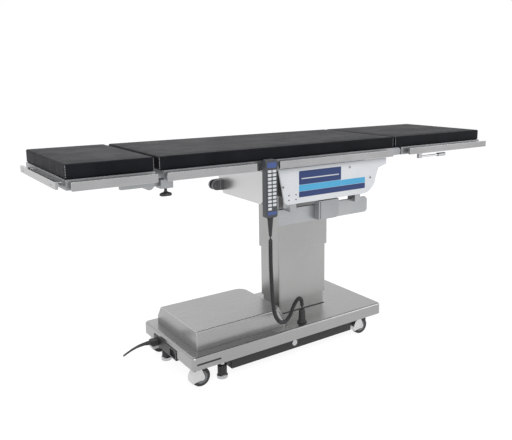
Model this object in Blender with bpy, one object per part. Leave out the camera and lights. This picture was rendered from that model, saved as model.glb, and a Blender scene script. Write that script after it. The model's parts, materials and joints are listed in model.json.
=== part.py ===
"""Operating table: a four-section top on a telescopic column and a wheeled, foot-locked base.

Metres, +Z up. X runs along the top with the head end at -X, the near long side faces -Y,
and the origin is on the floor under the middle of the top.
"""
from math import cos, pi, radians, sin

import bmesh
import bpy
from mathutils import Vector

for old in list(bpy.data.objects):
    bpy.data.objects.remove(old, do_unlink=True)

# Clearances
TOUCH = 0.0003           # left between faces that meet
PIN_PLAY = 0.0005        # radial play of a pin in its bore
SLIDE_GAP = 0.0030       # between telescoping covers

# Top: lengths are read from the back hinge, which splits the body pad
BACK_HINGE_X = -0.270
BACK_REACH = 0.424       # back hinge to the head end of the body pad
SEAT_REACH = 0.677       # back hinge to the foot end of the body pad
HEAD_GAP = 0.016         # between the head pad and the body pad
HEAD_LENGTH = 0.290
LEG_GAP = 0.0105         # between the body pad and the leg pad
LEG_LENGTH = 0.5825
PAD_WIDTH = 0.490
PAD_THICK = 0.049
TOP_HEIGHT = 0.9013      # floor to the upper face of the pads
PAD_CORNER = 0.006
FLEX_BACK = 0.065        # foam that bends, head side of the back hinge
FLEX_SEAT = 0.050        # foam that bends, foot side of the back hinge
FLEX_HEAD = 0.080        # end of the head pad that is squeezed when the head section lifts

# Section frames: a board on side and end bars
FRAME_WIDTH = 0.499
FRAME_DEPTH = 0.033
BAR_WIDTH = 0.038
BOARD = 0.005
FRAME_SETBACK = 0.020    # from a lug axis to the frame that carries the lug
HEAD_FRAME_SETBACK = 0.0215
HINGE_DROP = 0.017       # back and leg axes below the underside of the pads
HEAD_AXIS_DROP = 0.045   # head axis below the underside of the pads
LUG_RADIUS = 0.016
HEAD_LUG_RADIUS = 0.017
LUG_THICK = 0.0195
PIN_RADIUS = 0.006
LEG_AXIS_SETBACK = 0.023  # seat frame's end to the leg axis

# Accessory rails
RAIL_HEIGHT = 0.0286
RAIL_THICK = 0.0095
RAIL_GAP = 0.016         # between frame and rail, for a clamp's jaw
RAIL_DROP = 0.0198       # rail's middle below the underside of the pads
RAIL_SHORT = 0.015       # back rail's ends inside its pad's
STUD_RADIUS = 0.008
STUD_MARGIN = 0.045
END_RAIL_HEIGHT = 0.024
END_RAIL_HALF = 0.225

# Saddle: the tilting carrier under the top
PIVOT_X = 0.0335
SLIDE_DROP = 0.011       # saddle's top face below the section frames
PIVOT_DROP = 0.033       # tilt axes below the saddle's top face
SADDLE_DEPTH = 0.108
TILT_PIN = 0.009         # radius of the lateral tilt pin
LONG_TILT_PIN = 0.012    # radius of the head-down tilt pin
SADDLE_HEAD_X = -0.190
SADDLE_FOOT_X = 0.243
CHEEK_INNER_Y = 0.205
CHEEK_OUTER_Y = 0.243
CROSS_THICK = 0.008
PLATE_THICK = 0.008
PLATE_RISE = 0.004       # side plate above the saddle's top face
PLATE_DEPTH = 0.144
PLATE_HEAD_X = -0.214
PLATE_FOOT_X = 0.358
PLATE_CORNER = 0.020
BEAM_INNER_Y = 0.188
BEAM_OUTER_Y = 0.200
BEAM_DROP = 0.060        # gap between the saddle and the beam that hangs under it
BEAM_DEPTH = 0.068
BEAM_HEAD_X = -0.183
BEAM_FOOT_X = 0.294
BLOCK_HEAD_X = -0.003
BLOCK_LENGTH = 0.106
BLOCK_THICK = 0.033
COWL_LENGTH = 0.042
COWL_HALF = 0.190
COWL_DEPTH = 0.134
COWL_CHAMFER = (0.040, 0.045)
DRIVE_LENGTH = 0.055     # slide drive, from the cowl towards the head end
DRIVE_HALF = 0.022
DRIVE_Y = 0.163
DRIVE_DROP = 0.095       # its middle below the cowl's top

# Column
COLUMN_HEAD_X = -0.094   # lower cover, head end
COLUMN_FOOT_X = 0.161
COLUMN_HALF_Y = 0.0713
COLUMN_CORNER = 0.006
COVER_WALL = 0.003
HEAD_CAP_DROP = 0.050    # tilt axes above the column's top face
HEAD_CAP_THICK = 0.011
UPPER_LENGTH = 0.305     # upper cover
LOWER_RISE = 0.0595      # lower cover above the base, for its travel
STAGE_OVERLAP = 0.149    # upper cover's reach down over the lower cover
FOOT_STAGE_DROP = 0.129    # foot stage's top below the lower cover's
RUNNER_HEIGHT = 0.030    # band on the fixed stage that guides the lower cover
CYLINDER_RADIUS = 0.045
CYLINDER_NECK = 0.040
CYLINDER_HEIGHT = 0.460
ROD_RADIUS = 0.031
ROD_LENGTH = 0.464

# Base
SKIRT_HEAD_X = -0.5855
SKIRT_FOOT_X = 0.366
SKIRT_HALF_Y = 0.2275
SKIRT_BOTTOM = 0.0875
BASE_TOP = 0.137
SKIN = 0.0025
SKIRT_CORNER = 0.016
SKIRT_FILLET = 0.009     # round of the folded top edge
HOUSING_HEAD_X = -0.5445
HOUSING_FOOT_X = -0.106  # at its foot, next to the column
HOUSING_NOSE = 0.044     # slope of the column end, foot to top
HOUSING_NOSE_CORNER = 0.040
HOUSING_HALF_Y = 0.179
HOUSING_TOP = 0.215
HOUSING_FILLET = 0.006
HOUSING_CHAMFER = (0.035, 0.048)   # far long edge: inwards and down
SILL_HEAD_X = -0.408
SILL_FOOT_X = 0.207
SILL_HALF_Y = 0.200
SILL_BOTTOM = 0.036
CASTING_WALL = 0.012
CASTING_FLOOR = 0.009
CASTING_RIBS = (SILL_HEAD_X, -0.210, SILL_FOOT_X)

# Power inlet at the head end
INLET_DEPTH = 0.020
INLET_Y = (-0.085, 0.125)
INLET_DROP = 0.020       # below the base's top
INLET_HEIGHT = 0.0415
PLUG_Y = 0.088
PLUG_Z = 0.096
PLUG_LENGTH = 0.050

# Casters and locking feet
WHEEL_RADIUS = 0.0375
WHEEL_WIDTH = 0.028
WHEEL_LIFT = 0.002       # wheels hang this far over the floor while the feet carry the table
AXLE_RADIUS = 0.004
CASTER_TRAIL = 0.015
CASTER_HEAD_X = -0.522
CASTER_FOOT_X = 0.285
CASTER_Y = 0.184
CASTER_STEM = 0.016
FORK_ARM = 0.003
HOOD_RADIUS = 0.043
FEET = {"head_near": (-0.437, -0.175), "head_far": (-0.546, 0.100),
        "foot_near": (0.343, -0.125), "foot_far": (0.343, 0.125)}
FOOT_RADIUS = 0.022
FOOT_NECK = 0.012
FOOT_TRAVEL = 0.012

# Controls on the top
KNOB_REACH = 0.064       # head axis to the clamp knob
KNOB_Y = -0.232
LEVER_REACH = 0.170      # leg axis to the lever's pivot
LEVER_Y = -0.222
LEVER_LENGTH = 0.175

# Hand control and cords
PENDANT_X = -0.2755
PENDANT_WIDTH = 0.052
PENDANT_DEPTH = 0.029
PENDANT_LENGTH = 0.220
PENDANT_FRONT_Y = -0.296
PENDANT_RISE = 0.0077    # above the underside of the pads
RELIEF_LENGTH = 0.0737
CURLY_DIAMETER = 0.017
SOCKET_X = -0.058
SOCKET_Y = -0.189
SOCKET_TOP = 0.196
MAINS_DIAMETER = 0.008
COIL_X = -0.230
COIL_Y = 0.345
COIL_TURN_DIAMETER = 0.100
COIL_WIDTH = 0.034
COIL_HEIGHT = 0.034
WALL_PLUG_RADIUS = 0.020

PAD_BOTTOM = TOP_HEIGHT - PAD_THICK
FRAME_TOP = PAD_BOTTOM - TOUCH
FRAME_BOTTOM = FRAME_TOP - FRAME_DEPTH
FRAME_Y = FRAME_WIDTH / 2
HINGE_Z = PAD_BOTTOM - HINGE_DROP
HEAD_AXIS_Z = PAD_BOTTOM - HEAD_AXIS_DROP
RAIL_Z = PAD_BOTTOM - RAIL_DROP
BODY_HEAD_X = BACK_HINGE_X - BACK_REACH
BODY_FOOT_X = BACK_HINGE_X + SEAT_REACH
HEAD_PAD_FOOT_X = BODY_HEAD_X - HEAD_GAP
HEAD_PAD_HEAD_X = HEAD_PAD_FOOT_X - HEAD_LENGTH
LEG_PAD_HEAD_X = BODY_FOOT_X + LEG_GAP
LEG_PAD_FOOT_X = LEG_PAD_HEAD_X + LEG_LENGTH
LEG_AXIS_X = BODY_FOOT_X + LEG_AXIS_SETBACK
HEAD_FRAME_FOOT_X = HEAD_PAD_FOOT_X - 0.0015
HEAD_AXIS_X = HEAD_FRAME_FOOT_X - HEAD_FRAME_SETBACK
BACK_FRAME_HEAD_X = BODY_HEAD_X + 0.014
LUG_OUTER_Y0 = FRAME_Y - LUG_THICK
LUG_INNER_Y1 = LUG_OUTER_Y0 - TOUCH
LUG_INNER_Y0 = LUG_INNER_Y1 - LUG_THICK
SADDLE_TOP = FRAME_BOTTOM - SLIDE_DROP
SADDLE_BOTTOM = SADDLE_TOP - SADDLE_DEPTH
PIVOT_Z = SADDLE_TOP - PIVOT_DROP
PLATE_TOP = SADDLE_TOP + PLATE_RISE
PLATE_BOTTOM = PLATE_TOP - PLATE_DEPTH
BEAM_TOP = SADDLE_BOTTOM - BEAM_DROP
BEAM_BOTTOM = BEAM_TOP - BEAM_DEPTH
COWL_TOP = PIVOT_Z + 0.020
HEAD_CAP_TOP = PIVOT_Z - HEAD_CAP_DROP
HEAD_CAP_BOTTOM = HEAD_CAP_TOP - HEAD_CAP_THICK
UPPER_BOTTOM = HEAD_CAP_TOP - UPPER_LENGTH
UPPER_GROW = SLIDE_GAP + COVER_WALL
LOWER_TOP = UPPER_BOTTOM + STAGE_OVERLAP
LOWER_BOTTOM = BASE_TOP + LOWER_RISE
FOOT_STAGE_TOP = LOWER_TOP - FOOT_STAGE_DROP
INLET_X = SKIRT_HEAD_X + INLET_DEPTH
INLET_TOP = BASE_TOP - INLET_DROP
PENDANT_TOP = PAD_BOTTOM + PENDANT_RISE
PENDANT_BOTTOM = PENDANT_TOP - PENDANT_LENGTH
RELIEF_BOTTOM = PENDANT_BOTTOM - TOUCH - RELIEF_LENGTH
FLEX_X = (BACK_HINGE_X - FLEX_BACK, BACK_HINGE_X + FLEX_SEAT)


# Materials
def material(name, colour, roughness, metallic):
    made = bpy.data.materials.new(name)
    made.use_nodes = True
    shader = made.node_tree.nodes["Principled BSDF"]
    shader.inputs["Base Color"].default_value = (*colour, 1.0)
    shader.inputs["Roughness"].default_value = roughness
    shader.inputs["Metallic"].default_value = metallic
    made.diffuse_color = (*colour, 1.0)
    return made


VINYL = material("black_vinyl", (0.035, 0.035, 0.038), 0.45, 0.0)
STAINLESS = material("brushed_stainless", (0.62, 0.61, 0.59), 0.35, 1.0)
PANEL_WHITE = material("white_enamel", (0.78, 0.79, 0.80), 0.40, 0.0)
ALLOY = material("cast_alloy", (0.56, 0.57, 0.58), 0.45, 1.0)
BLACK_STEEL = material("black_steel", (0.03, 0.03, 0.03), 0.55, 0.6)
RUBBER = material("black_rubber", (0.02, 0.02, 0.02), 0.70, 0.0)
PLASTIC = material("dark_plastic", (0.05, 0.055, 0.065), 0.45, 0.0)
CHROME = material("polished_steel", (0.75, 0.75, 0.76), 0.15, 1.0)


# Shapes: each function returns a closed bmesh in world coordinates
def box(x, y, z):
    """Block between the low and high values of each axis."""
    shape = bmesh.new()
    bmesh.ops.create_cube(shape, size=1.0)
    for vert in shape.verts:
        vert.co = Vector((x[vert.co.x > 0], y[vert.co.y > 0], z[vert.co.z > 0]))
    return shape


def prism(outline, axis, low, high):
    """Outline drawn in the other two axes, in their order, and drawn out along one axis."""
    def point(pair, level):
        coordinates = list(pair)
        coordinates.insert("xyz".index(axis), level)
        return Vector(coordinates)

    shape = bmesh.new()
    lower = [shape.verts.new(point(pair, low)) for pair in outline]
    upper = [shape.verts.new(point(pair, high)) for pair in outline]
    shape.faces.new(lower)
    shape.faces.new(list(reversed(upper)))
    for i in range(len(outline)):
        j = (i + 1) % len(outline)
        shape.faces.new((lower[j], lower[i], upper[i], upper[j]))
    bmesh.ops.recalc_face_normals(shape, faces=shape.faces)
    return shape


def stacked(outlines):
    """Solid through flat outlines at rising heights, all with as many points: (points, z) for each."""
    shape = bmesh.new()
    rings = [[shape.verts.new((px, py, z)) for px, py in points] for points, z in outlines]
    count = len(rings[0])
    shape.faces.new(list(reversed(rings[0])))
    shape.faces.new(rings[-1])
    for lower, upper in zip(rings, rings[1:]):
        for i in range(count):
            j = (i + 1) % count
            shape.faces.new((lower[i], lower[j], upper[j], upper[i]))
    bmesh.ops.recalc_face_normals(shape, faces=shape.faces)
    return shape


def round_topped(x, y, corner, low, high, fillet, steps=4):
    """Upright block with round corners and a round top edge."""
    outlines = [(rounded(x, y, corner, 4), low)]
    for i in range(steps + 1):
        angle = pi / 2 * i / steps
        inset = fillet * (1 - cos(angle))
        outlines.append((rounded((x[0] + inset, x[1] - inset), (y[0] + inset, y[1] - inset), corner - inset, 4),
                         high - fillet + fillet * sin(angle)))
    return stacked(outlines)


def turned(profile, axis, centre, steps=24):
    """Closed profile of (radius, level along the axis), turned about an axis through centre."""
    index = "xyz".index(axis)
    side = (index + 1) % 3
    shape = bmesh.new()
    verts = []
    for radius, level in profile:
        place = Vector(centre)
        place[side] += radius
        place[index] = level
        verts.append(shape.verts.new(place))
    edges = [shape.edges.new((verts[i], verts[(i + 1) % len(verts)])) for i in range(len(verts))]
    turn = Vector((0, 0, 0))
    turn[index] = 1
    bmesh.ops.spin(shape, geom=verts + edges, cent=Vector(centre), axis=turn, angle=2 * pi,
                   steps=steps, use_duplicate=False)
    bmesh.ops.remove_doubles(shape, verts=shape.verts, dist=1e-6)
    flat = [edge for edge in shape.edges if edge.is_wire or not edge.link_faces]
    bmesh.ops.delete(shape, geom=flat, context="EDGES")
    bmesh.ops.recalc_face_normals(shape, faces=shape.faces)
    return shape


def rod(axis, centre, radius, low, high, steps=24):
    return turned([(0, low), (radius, low), (radius, high), (0, high)], axis, centre, steps)


def arc(centre, radius, start, end, steps):
    """Points on an arc, angles in degrees."""
    angles = [radians(start + (end - start) * i / steps) for i in range(steps + 1)]
    return [(centre[0] + radius * cos(a), centre[1] + radius * sin(a)) for a in angles]


def rounded(x, z, radius, steps=3):
    """Rectangle with round corners, as an outline."""
    corners = ((x[1], z[1], 0), (x[0], z[1], 90), (x[0], z[0], 180), (x[1], z[0], 270))
    points = []
    for px, pz, start in corners:
        cx = px - radius if px == x[1] else px + radius
        cz = pz - radius if pz == z[1] else pz + radius
        points += arc((cx, cz), radius, start, start + 90, steps)
    return points


def holder(name, shape):
    mesh = bpy.data.meshes.new(name)
    shape.to_mesh(mesh)
    shape.free()
    made = bpy.data.objects.new(name, mesh)
    bpy.context.collection.objects.link(made)
    return made


def combine(base, tool, operation):
    first = holder("blank", base)
    second = holder("tool", tool)
    change = first.modifiers.new("change", "BOOLEAN")
    change.operation = operation
    change.object = second
    change.solver = "EXACT"
    ready = first.evaluated_get(bpy.context.evaluated_depsgraph_get())
    result = bmesh.new()
    result.from_mesh(ready.to_mesh())
    for spent in (first, second):
        bpy.data.objects.remove(spent, do_unlink=True)
    return result


def cut(base, *tools):
    for tool in tools:
        base = combine(base, tool, "DIFFERENCE")
    return base


def fuse(base, *extras):
    for extra in extras:
        base = combine(base, extra, "UNION")
    return base


# Bodies: an empty on each joint, in the order of the chain that carries them
bodies = {}


def body(name, place, carrier=None):
    joint = bpy.data.objects.new(name + "_joint", None)
    bpy.context.collection.objects.link(joint)
    joint["place"] = place
    if carrier:
        joint.parent = bodies[carrier]
        joint.location = Vector(place) - Vector(bodies[carrier]["place"])
    else:
        joint.location = place
    bodies[name] = joint


def piece(name, shape, finish, carrier, bevel=0.0, segments=2, smooth=True):
    """Object for one sub-part, its origin in the middle of its box, carried by a body."""
    made = holder(name, shape)
    corners = [vert.co for vert in made.data.vertices]
    low = Vector([min(c[i] for c in corners) for i in range(3)])
    high = Vector([max(c[i] for c in corners) for i in range(3)])
    middle = (low + high) / 2
    for vert in made.data.vertices:
        vert.co -= middle
    made.parent = bodies[carrier]
    made.location = middle - Vector(bodies[carrier]["place"])
    made.data.materials.append(finish)
    if smooth:
        made.data.shade_smooth()
        made.data.set_sharp_from_angle(angle=radians(35))
    if bevel:
        edge = made.modifiers.new("edges", "BEVEL")
        edge.width = bevel
        edge.segments = segments
        edge.limit_method = "ANGLE"
        edge.angle_limit = radians(50)
    return made


body("base", (0, 0, 0))
body("column_middle", (PIVOT_X, 0, LOWER_BOTTOM), "base")
body("lift", (PIVOT_X, 0, UPPER_BOTTOM), "base")
body("yoke", (PIVOT_X, 0, PIVOT_Z), "lift")
body("saddle", (PIVOT_X, 0, PIVOT_Z), "yoke")
body("seat", (PIVOT_X, 0, SADDLE_TOP), "saddle")
body("back", (BACK_HINGE_X, 0, HINGE_Z), "seat")
body("head", (HEAD_AXIS_X, 0, HEAD_AXIS_Z), "back")
body("leg", (LEG_AXIS_X, 0, HINGE_Z), "seat")


# Base: ribbed iron casting under a folded stainless cover
def chassis():
    inset = SKIN + TOUCH
    x = (SKIRT_HEAD_X + inset, SKIRT_FOOT_X - inset)
    y = SKIRT_HALF_Y - inset
    high = BASE_TOP - inset
    upper = round_topped(x, (-y, y), SKIRT_CORNER - SKIN, SKIRT_BOTTOM, high, SKIRT_FILLET - SKIN, 2)
    sill = box((SILL_HEAD_X, SILL_FOOT_X), (-SILL_HALF_Y, SILL_HALF_Y), (SILL_BOTTOM, SKIRT_BOTTOM + 0.01))
    casting = fuse(upper, sill)
    # Pockets between the ribs are open below; the middle ones leave the floor under the ram
    inner = SILL_HALF_Y - CASTING_WALL
    ram_wall = CYLINDER_RADIUS + 0.020
    for left, right in ((CASTING_RIBS[0], CASTING_RIBS[1]), (CASTING_RIBS[1], PIVOT_X - ram_wall - CASTING_WALL),
                        (PIVOT_X + ram_wall + CASTING_WALL, CASTING_RIBS[2])):
        for sign in (-1, 1):
            pocket_y = sorted((sign * CASTING_WALL / 2, sign * inner))
            pocket_x = (left + CASTING_WALL / 2, right - CASTING_WALL)
            casting = cut(casting, box(pocket_x, pocket_y, (SILL_BOTTOM - 0.01, high - CASTING_WALL)))
    well = rod("z", (PIVOT_X, 0, 0), CYLINDER_RADIUS + TOUCH, SILL_BOTTOM + CASTING_FLOOR, BASE_TOP, 32)
    notch = box((SKIRT_HEAD_X - 0.01, INLET_X + TOUCH), (INLET_Y[0] - TOUCH, INLET_Y[1] + TOUCH),
                (SKIRT_BOTTOM - 0.01, INLET_TOP + TOUCH))
    casting = cut(casting, well, notch)
    for foot_x, foot_y in FEET.values():
        casting = cut(casting, rod("z", (foot_x, foot_y, 0), FOOT_NECK + PIN_PLAY, SKIRT_BOTTOM - 0.01,
                                   SKIRT_BOTTOM + FOOT_TRAVEL + 0.002, 20))
    return casting


def base_cover():
    outside = round_topped((SKIRT_HEAD_X, SKIRT_FOOT_X), (-SKIRT_HALF_Y, SKIRT_HALF_Y), SKIRT_CORNER,
                           SKIRT_BOTTOM, BASE_TOP, SKIRT_FILLET)
    inside = round_topped((SKIRT_HEAD_X + SKIN, SKIRT_FOOT_X - SKIN), (-SKIRT_HALF_Y + SKIN, SKIRT_HALF_Y - SKIN),
                          SKIRT_CORNER - SKIN, SKIRT_BOTTOM - 0.01, BASE_TOP - SKIN, SKIRT_FILLET - SKIN)
    mouth = box((COLUMN_HEAD_X, COLUMN_FOOT_X), (-COLUMN_HALF_Y, COLUMN_HALF_Y), (BASE_TOP - 0.02, BASE_TOP + 0.02))
    slot = box((SKIRT_HEAD_X - 0.01, SKIRT_HEAD_X + 0.01), (INLET_Y[0] - TOUCH, INLET_Y[1] + TOUCH),
               (SKIRT_BOTTOM - 0.01, INLET_TOP + TOUCH))
    return cut(outside, inside, mouth, slot)


def housing_outline(skin, foot_x, far_y):
    """Plan of the housing at one height: square at the head end, round at the column."""
    head = HOUSING_HEAD_X + skin
    near = -HOUSING_HALF_Y + skin
    corner = HOUSING_NOSE_CORNER - skin
    foot = foot_x - skin
    far = far_y - skin
    points = [(head, far), (head, near)]
    points += arc((foot - corner, near + corner), corner, 270, 360, 6)
    points += arc((foot - corner, far - corner), corner, 0, 90, 6)
    return points


def housing_form(skin, low):
    """Round-nosed block: the column end slopes, and the far long edge is cut off."""
    high = HOUSING_TOP - skin
    drop = HOUSING_CHAMFER[1]
    rise = high - BASE_TOP
    outlines = []
    for z in (low, high - drop, high - HOUSING_FILLET, high - HOUSING_FILLET / 3, high):
        slope = HOUSING_NOSE * max(0.0, z - BASE_TOP) / rise
        inset = HOUSING_FILLET * (0, 0, 0, 0.3, 1)[len(outlines)]
        far = HOUSING_HALF_Y - HOUSING_CHAMFER[0] * max(0.0, z - high + drop) / drop
        points = housing_outline(skin, HOUSING_FOOT_X - slope, far)
        outlines.append(([(px, py + inset if py < 0 else py) for px, py in points], z))
    return stacked(outlines)


def power_housing():
    return cut(housing_form(0.0, BASE_TOP + TOUCH), housing_form(SKIN, BASE_TOP - 0.01))


def foot_stage():
    gap = SLIDE_GAP + COVER_WALL
    x = (COLUMN_HEAD_X + gap, COLUMN_FOOT_X - gap)
    y = (-COLUMN_HALF_Y + gap, COLUMN_HALF_Y - gap)
    seat = BASE_TOP - SKIN
    tube = prism(rounded(x, y, COLUMN_CORNER), "z", seat, FOOT_STAGE_TOP)
    grow = SLIDE_GAP - TOUCH
    runner = prism(rounded((x[0] - grow, x[1] + grow), (y[0] - grow, y[1] + grow), COLUMN_CORNER * 0.75), "z",
                   FOOT_STAGE_TOP - RUNNER_HEIGHT, FOOT_STAGE_TOP - 0.002)
    wall = 2 * COVER_WALL
    hollow = prism(rounded((x[0] + wall, x[1] - wall), (y[0] + wall, y[1] - wall), COLUMN_CORNER / 2), "z",
                   seat - 0.01, FOOT_STAGE_TOP + 0.01)
    return cut(fuse(tube, runner), hollow)


def lift_cylinder():
    low = SILL_BOTTOM + CASTING_FLOOR + TOUCH
    high = low + CYLINDER_HEIGHT
    neck = high - 0.03
    bore = ROD_RADIUS + PIN_PLAY
    return turned([(0, low), (CYLINDER_RADIUS, low), (CYLINDER_RADIUS, neck), (CYLINDER_NECK, neck),
                   (CYLINDER_NECK, high), (bore, high), (bore, low + 0.004), (0, low + 0.004)],
                  "z", (PIVOT_X, 0, 0), 32)


piece("base_chassis", chassis(), BLACK_STEEL, "base")
piece("base_cover", base_cover(), STAINLESS, "base")
piece("power_housing", power_housing(), STAINLESS, "base")
piece("column_foot", foot_stage(), STAINLESS, "base")
piece("lift_cylinder", lift_cylinder(), CHROME, "base")


# Pump unit inside the raised housing
PUMP_X = HOUSING_HEAD_X + 0.045
PUMP_Y = 0.050
PUMP_TANK = 0.120
PUMP_MOTOR = 0.110
PUMP_BLOCK = 0.050
PUMP_HALF = 0.060
PUMP_HEIGHT = 0.060


def pump_unit():
    floor = BASE_TOP + TOUCH
    axle = (0, PUMP_Y, floor + PUMP_HEIGHT / 2 + 0.004)
    shoulder = PUMP_X + PUMP_TANK
    tail = shoulder + PUMP_MOTOR
    tank = box((PUMP_X, shoulder), (PUMP_Y - PUMP_HALF, PUMP_Y + PUMP_HALF), (floor, floor + PUMP_HEIGHT))
    motor = rod("x", axle, PUMP_HEIGHT / 2, shoulder - 0.005, tail)
    block = box((tail - 0.005, tail + PUMP_BLOCK), (PUMP_Y - PUMP_HALF / 2, PUMP_Y + PUMP_HALF / 2),
                (floor, floor + PUMP_HEIGHT))
    return fuse(tank, motor, block)


piece("pump_unit", pump_unit(), ALLOY, "base")


# Power inlet at the head end, with its plug
def inlet_panel():
    z = (INLET_TOP - INLET_HEIGHT, INLET_TOP)
    panel = box((SKIRT_HEAD_X - 0.003, INLET_X), INLET_Y, z)
    pocket = box((SKIRT_HEAD_X - 0.02, SKIRT_HEAD_X + 0.006), (INLET_Y[0] + 0.009, INLET_Y[0] + 0.055),
                 (z[0] + 0.007, z[1] - 0.007))
    return cut(panel, pocket)


def mains_connector():
    face = SKIRT_HEAD_X - 0.003 - TOUCH
    shell = box((face - 0.030, face), (PLUG_Y - 0.015, PLUG_Y + 0.015), (PLUG_Z - 0.011, PLUG_Z + 0.011))
    relief = turned([(0, face - PLUG_LENGTH), (MAINS_DIAMETER / 2 + 0.001, face - PLUG_LENGTH),
                     (0.008, face - 0.028), (0, face - 0.028)], "x", (0, PLUG_Y, PLUG_Z), 16)
    return fuse(shell, relief)


piece("inlet_panel", inlet_panel(), PLASTIC, "base")
piece("mains_connector", mains_connector(), RUBBER, "base")


# Base socket of the hand control's cord: a black pillar on the cover
def cord_socket():
    floor = BASE_TOP + TOUCH
    return turned([(0, floor), (0.020, floor), (0.020, floor + 0.006), (0.015, floor + 0.010),
                   (0.013, floor + 0.050), (0.0105, SOCKET_TOP), (0, SOCKET_TOP)], "z", (SOCKET_X, SOCKET_Y, 0), 24)


piece("cord_socket", cord_socket(), RUBBER, "base")


# Casters: a hooded fork on its stem, and a wheel on its axle
def fork(x, y):
    axle_x = x - CASTER_TRAIL
    axle_z = WHEEL_LIFT + WHEEL_RADIUS
    crown = WHEEL_LIFT + 2 * WHEEL_RADIUS + 0.003
    inner = WHEEL_WIDTH / 2 + 0.001
    outer = inner + FORK_ARM
    top = SKIRT_BOTTOM - TOUCH
    boss = 0.012
    outline = arc((axle_x, axle_z), HOOD_RADIUS, 60, 200, 9)
    outline += arc((axle_x, axle_z), boss, 250, 340, 3)
    outline += [(axle_x + HOOD_RADIUS * cos(radians(60)), axle_z + boss)]
    hood = prism(outline, "y", y - outer, y + outer)
    well = rod("y", (axle_x, 0, axle_z), crown - axle_z, y - inner, y + inner, 24)
    stem = rod("z", (x, y, 0), CASTER_STEM, crown - 0.001, top, 16)
    axle = rod("y", (axle_x, 0, axle_z), AXLE_RADIUS, y - outer - 0.001, y + outer + 0.001, 12)
    return fuse(cut(fuse(hood, stem), well), axle)


def wheel(x, y):
    half = WHEEL_WIDTH / 2
    bore = AXLE_RADIUS + PIN_PLAY
    hub = 0.010
    rim = 0.026
    profile = [(bore, y - half), (hub, y - half), (rim, y - half + 0.004), (WHEEL_RADIUS - 0.004, y - half),
               (WHEEL_RADIUS, y - half + 0.005), (WHEEL_RADIUS, y + half - 0.005), (WHEEL_RADIUS - 0.004, y + half),
               (rim, y + half - 0.004), (hub, y + half), (bore, y + half)]
    return turned(profile, "y", (x - CASTER_TRAIL, 0, WHEEL_LIFT + WHEEL_RADIUS), 20)


def locking_foot(x, y):
    """Steel sole ring, rubber collar and the neck of the ram that presses it down."""
    top = SKIRT_BOTTOM - TOUCH
    profile = [(0, 0), (FOOT_RADIUS - 0.003, 0), (FOOT_RADIUS, 0.004), (FOOT_RADIUS, 0.014),
               (FOOT_RADIUS - 0.003, 0.018), (FOOT_RADIUS - 0.004, 0.052), (FOOT_NECK, 0.058), (FOOT_NECK, top),
               (0, top)]
    return turned(profile, "z", (x, y, 0), 16)


for end, caster_x in (("head", CASTER_HEAD_X), ("foot", CASTER_FOOT_X)):
    for side, sign in (("near", -1), ("far", 1)):
        tag = f"{end}_{side}"
        foot_x, foot_y = FEET[tag]
        body("fork_" + tag, (caster_x, sign * CASTER_Y, SKIRT_BOTTOM), "base")
        body("wheel_" + tag, (caster_x - CASTER_TRAIL, sign * CASTER_Y, WHEEL_LIFT + WHEEL_RADIUS), "fork_" + tag)
        body("lock_" + tag, (foot_x, foot_y, 0), "base")
        piece("caster_fork_" + tag, fork(caster_x, sign * CASTER_Y), CHROME, "fork_" + tag)
        piece("caster_wheel_" + tag, wheel(caster_x, sign * CASTER_Y), RUBBER, "wheel_" + tag)
        piece("locking_foot_" + tag, locking_foot(foot_x, foot_y), RUBBER, "lock_" + tag)


# Column: two telescoping covers, the ram, and the head that carries the cardan
def cover_tube(grow, low, high):
    x = (COLUMN_HEAD_X - grow, COLUMN_FOOT_X + grow)
    y = (-COLUMN_HALF_Y - grow, COLUMN_HALF_Y + grow)
    tube = prism(rounded(x, y, COLUMN_CORNER), "z", low, high)
    hollow = prism(rounded((x[0] + COVER_WALL, x[1] - COVER_WALL), (y[0] + COVER_WALL, y[1] - COVER_WALL),
                           COLUMN_CORNER - COVER_WALL), "z", low - 0.01, high + 0.01)
    return cut(tube, hollow)


def lift_head():
    grow = SLIDE_GAP - TOUCH
    x = (COLUMN_HEAD_X - grow, COLUMN_FOOT_X + grow)
    y = (-COLUMN_HALF_Y - grow, COLUMN_HALF_Y + grow)
    cap = prism(rounded(x, y, COLUMN_CORNER / 2), "z", HEAD_CAP_BOTTOM, HEAD_CAP_TOP)
    for offset in (-0.048, 0.036):
        lug = [(-LUG_RADIUS, HEAD_CAP_TOP - 0.003)] + [(LUG_RADIUS, HEAD_CAP_TOP - 0.003)]
        lug += arc((0, PIVOT_Z), LUG_RADIUS, 0, 180, 8)
        cap = fuse(cap, prism(lug, "x", PIVOT_X + offset, PIVOT_X + offset + 0.012))
    bore = rod("x", (0, 0, PIVOT_Z), TILT_PIN + PIN_PLAY, PIVOT_X - 0.06, PIVOT_X + 0.06)
    return cut(cap, bore)


piece("column_lower_cover", cover_tube(0, LOWER_BOTTOM, LOWER_TOP), STAINLESS, "column_middle")
piece("column_upper_cover", cover_tube(UPPER_GROW, UPPER_BOTTOM, HEAD_CAP_TOP), STAINLESS, "lift")
piece("lift_head", lift_head(), ALLOY, "lift")
rod_top = HEAD_CAP_BOTTOM - TOUCH
piece("lift_rod", rod("z", (PIVOT_X, 0, 0), ROD_RADIUS, rod_top - ROD_LENGTH, rod_top, 32), CHROME, "lift")


# Yoke: lateral tilt pin along X in the lift head, long tilt beam along Y into the saddle
def yoke():
    beam = box((PIVOT_X - 0.024, PIVOT_X + 0.024), (-CHEEK_INNER_Y + 0.001, CHEEK_INNER_Y - 0.001),
               (PIVOT_Z - 0.013, PIVOT_Z + 0.013))
    tilt_pin = rod("x", (0, 0, PIVOT_Z), TILT_PIN, PIVOT_X - 0.050, PIVOT_X + 0.050)
    trend_pin = rod("y", (PIVOT_X, 0, PIVOT_Z), LONG_TILT_PIN, -CHEEK_OUTER_Y + 0.003, CHEEK_OUTER_Y - 0.003)
    return fuse(beam, tilt_pin, trend_pin)


piece("tilt_yoke", yoke(), CHROME, "yoke")


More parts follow.
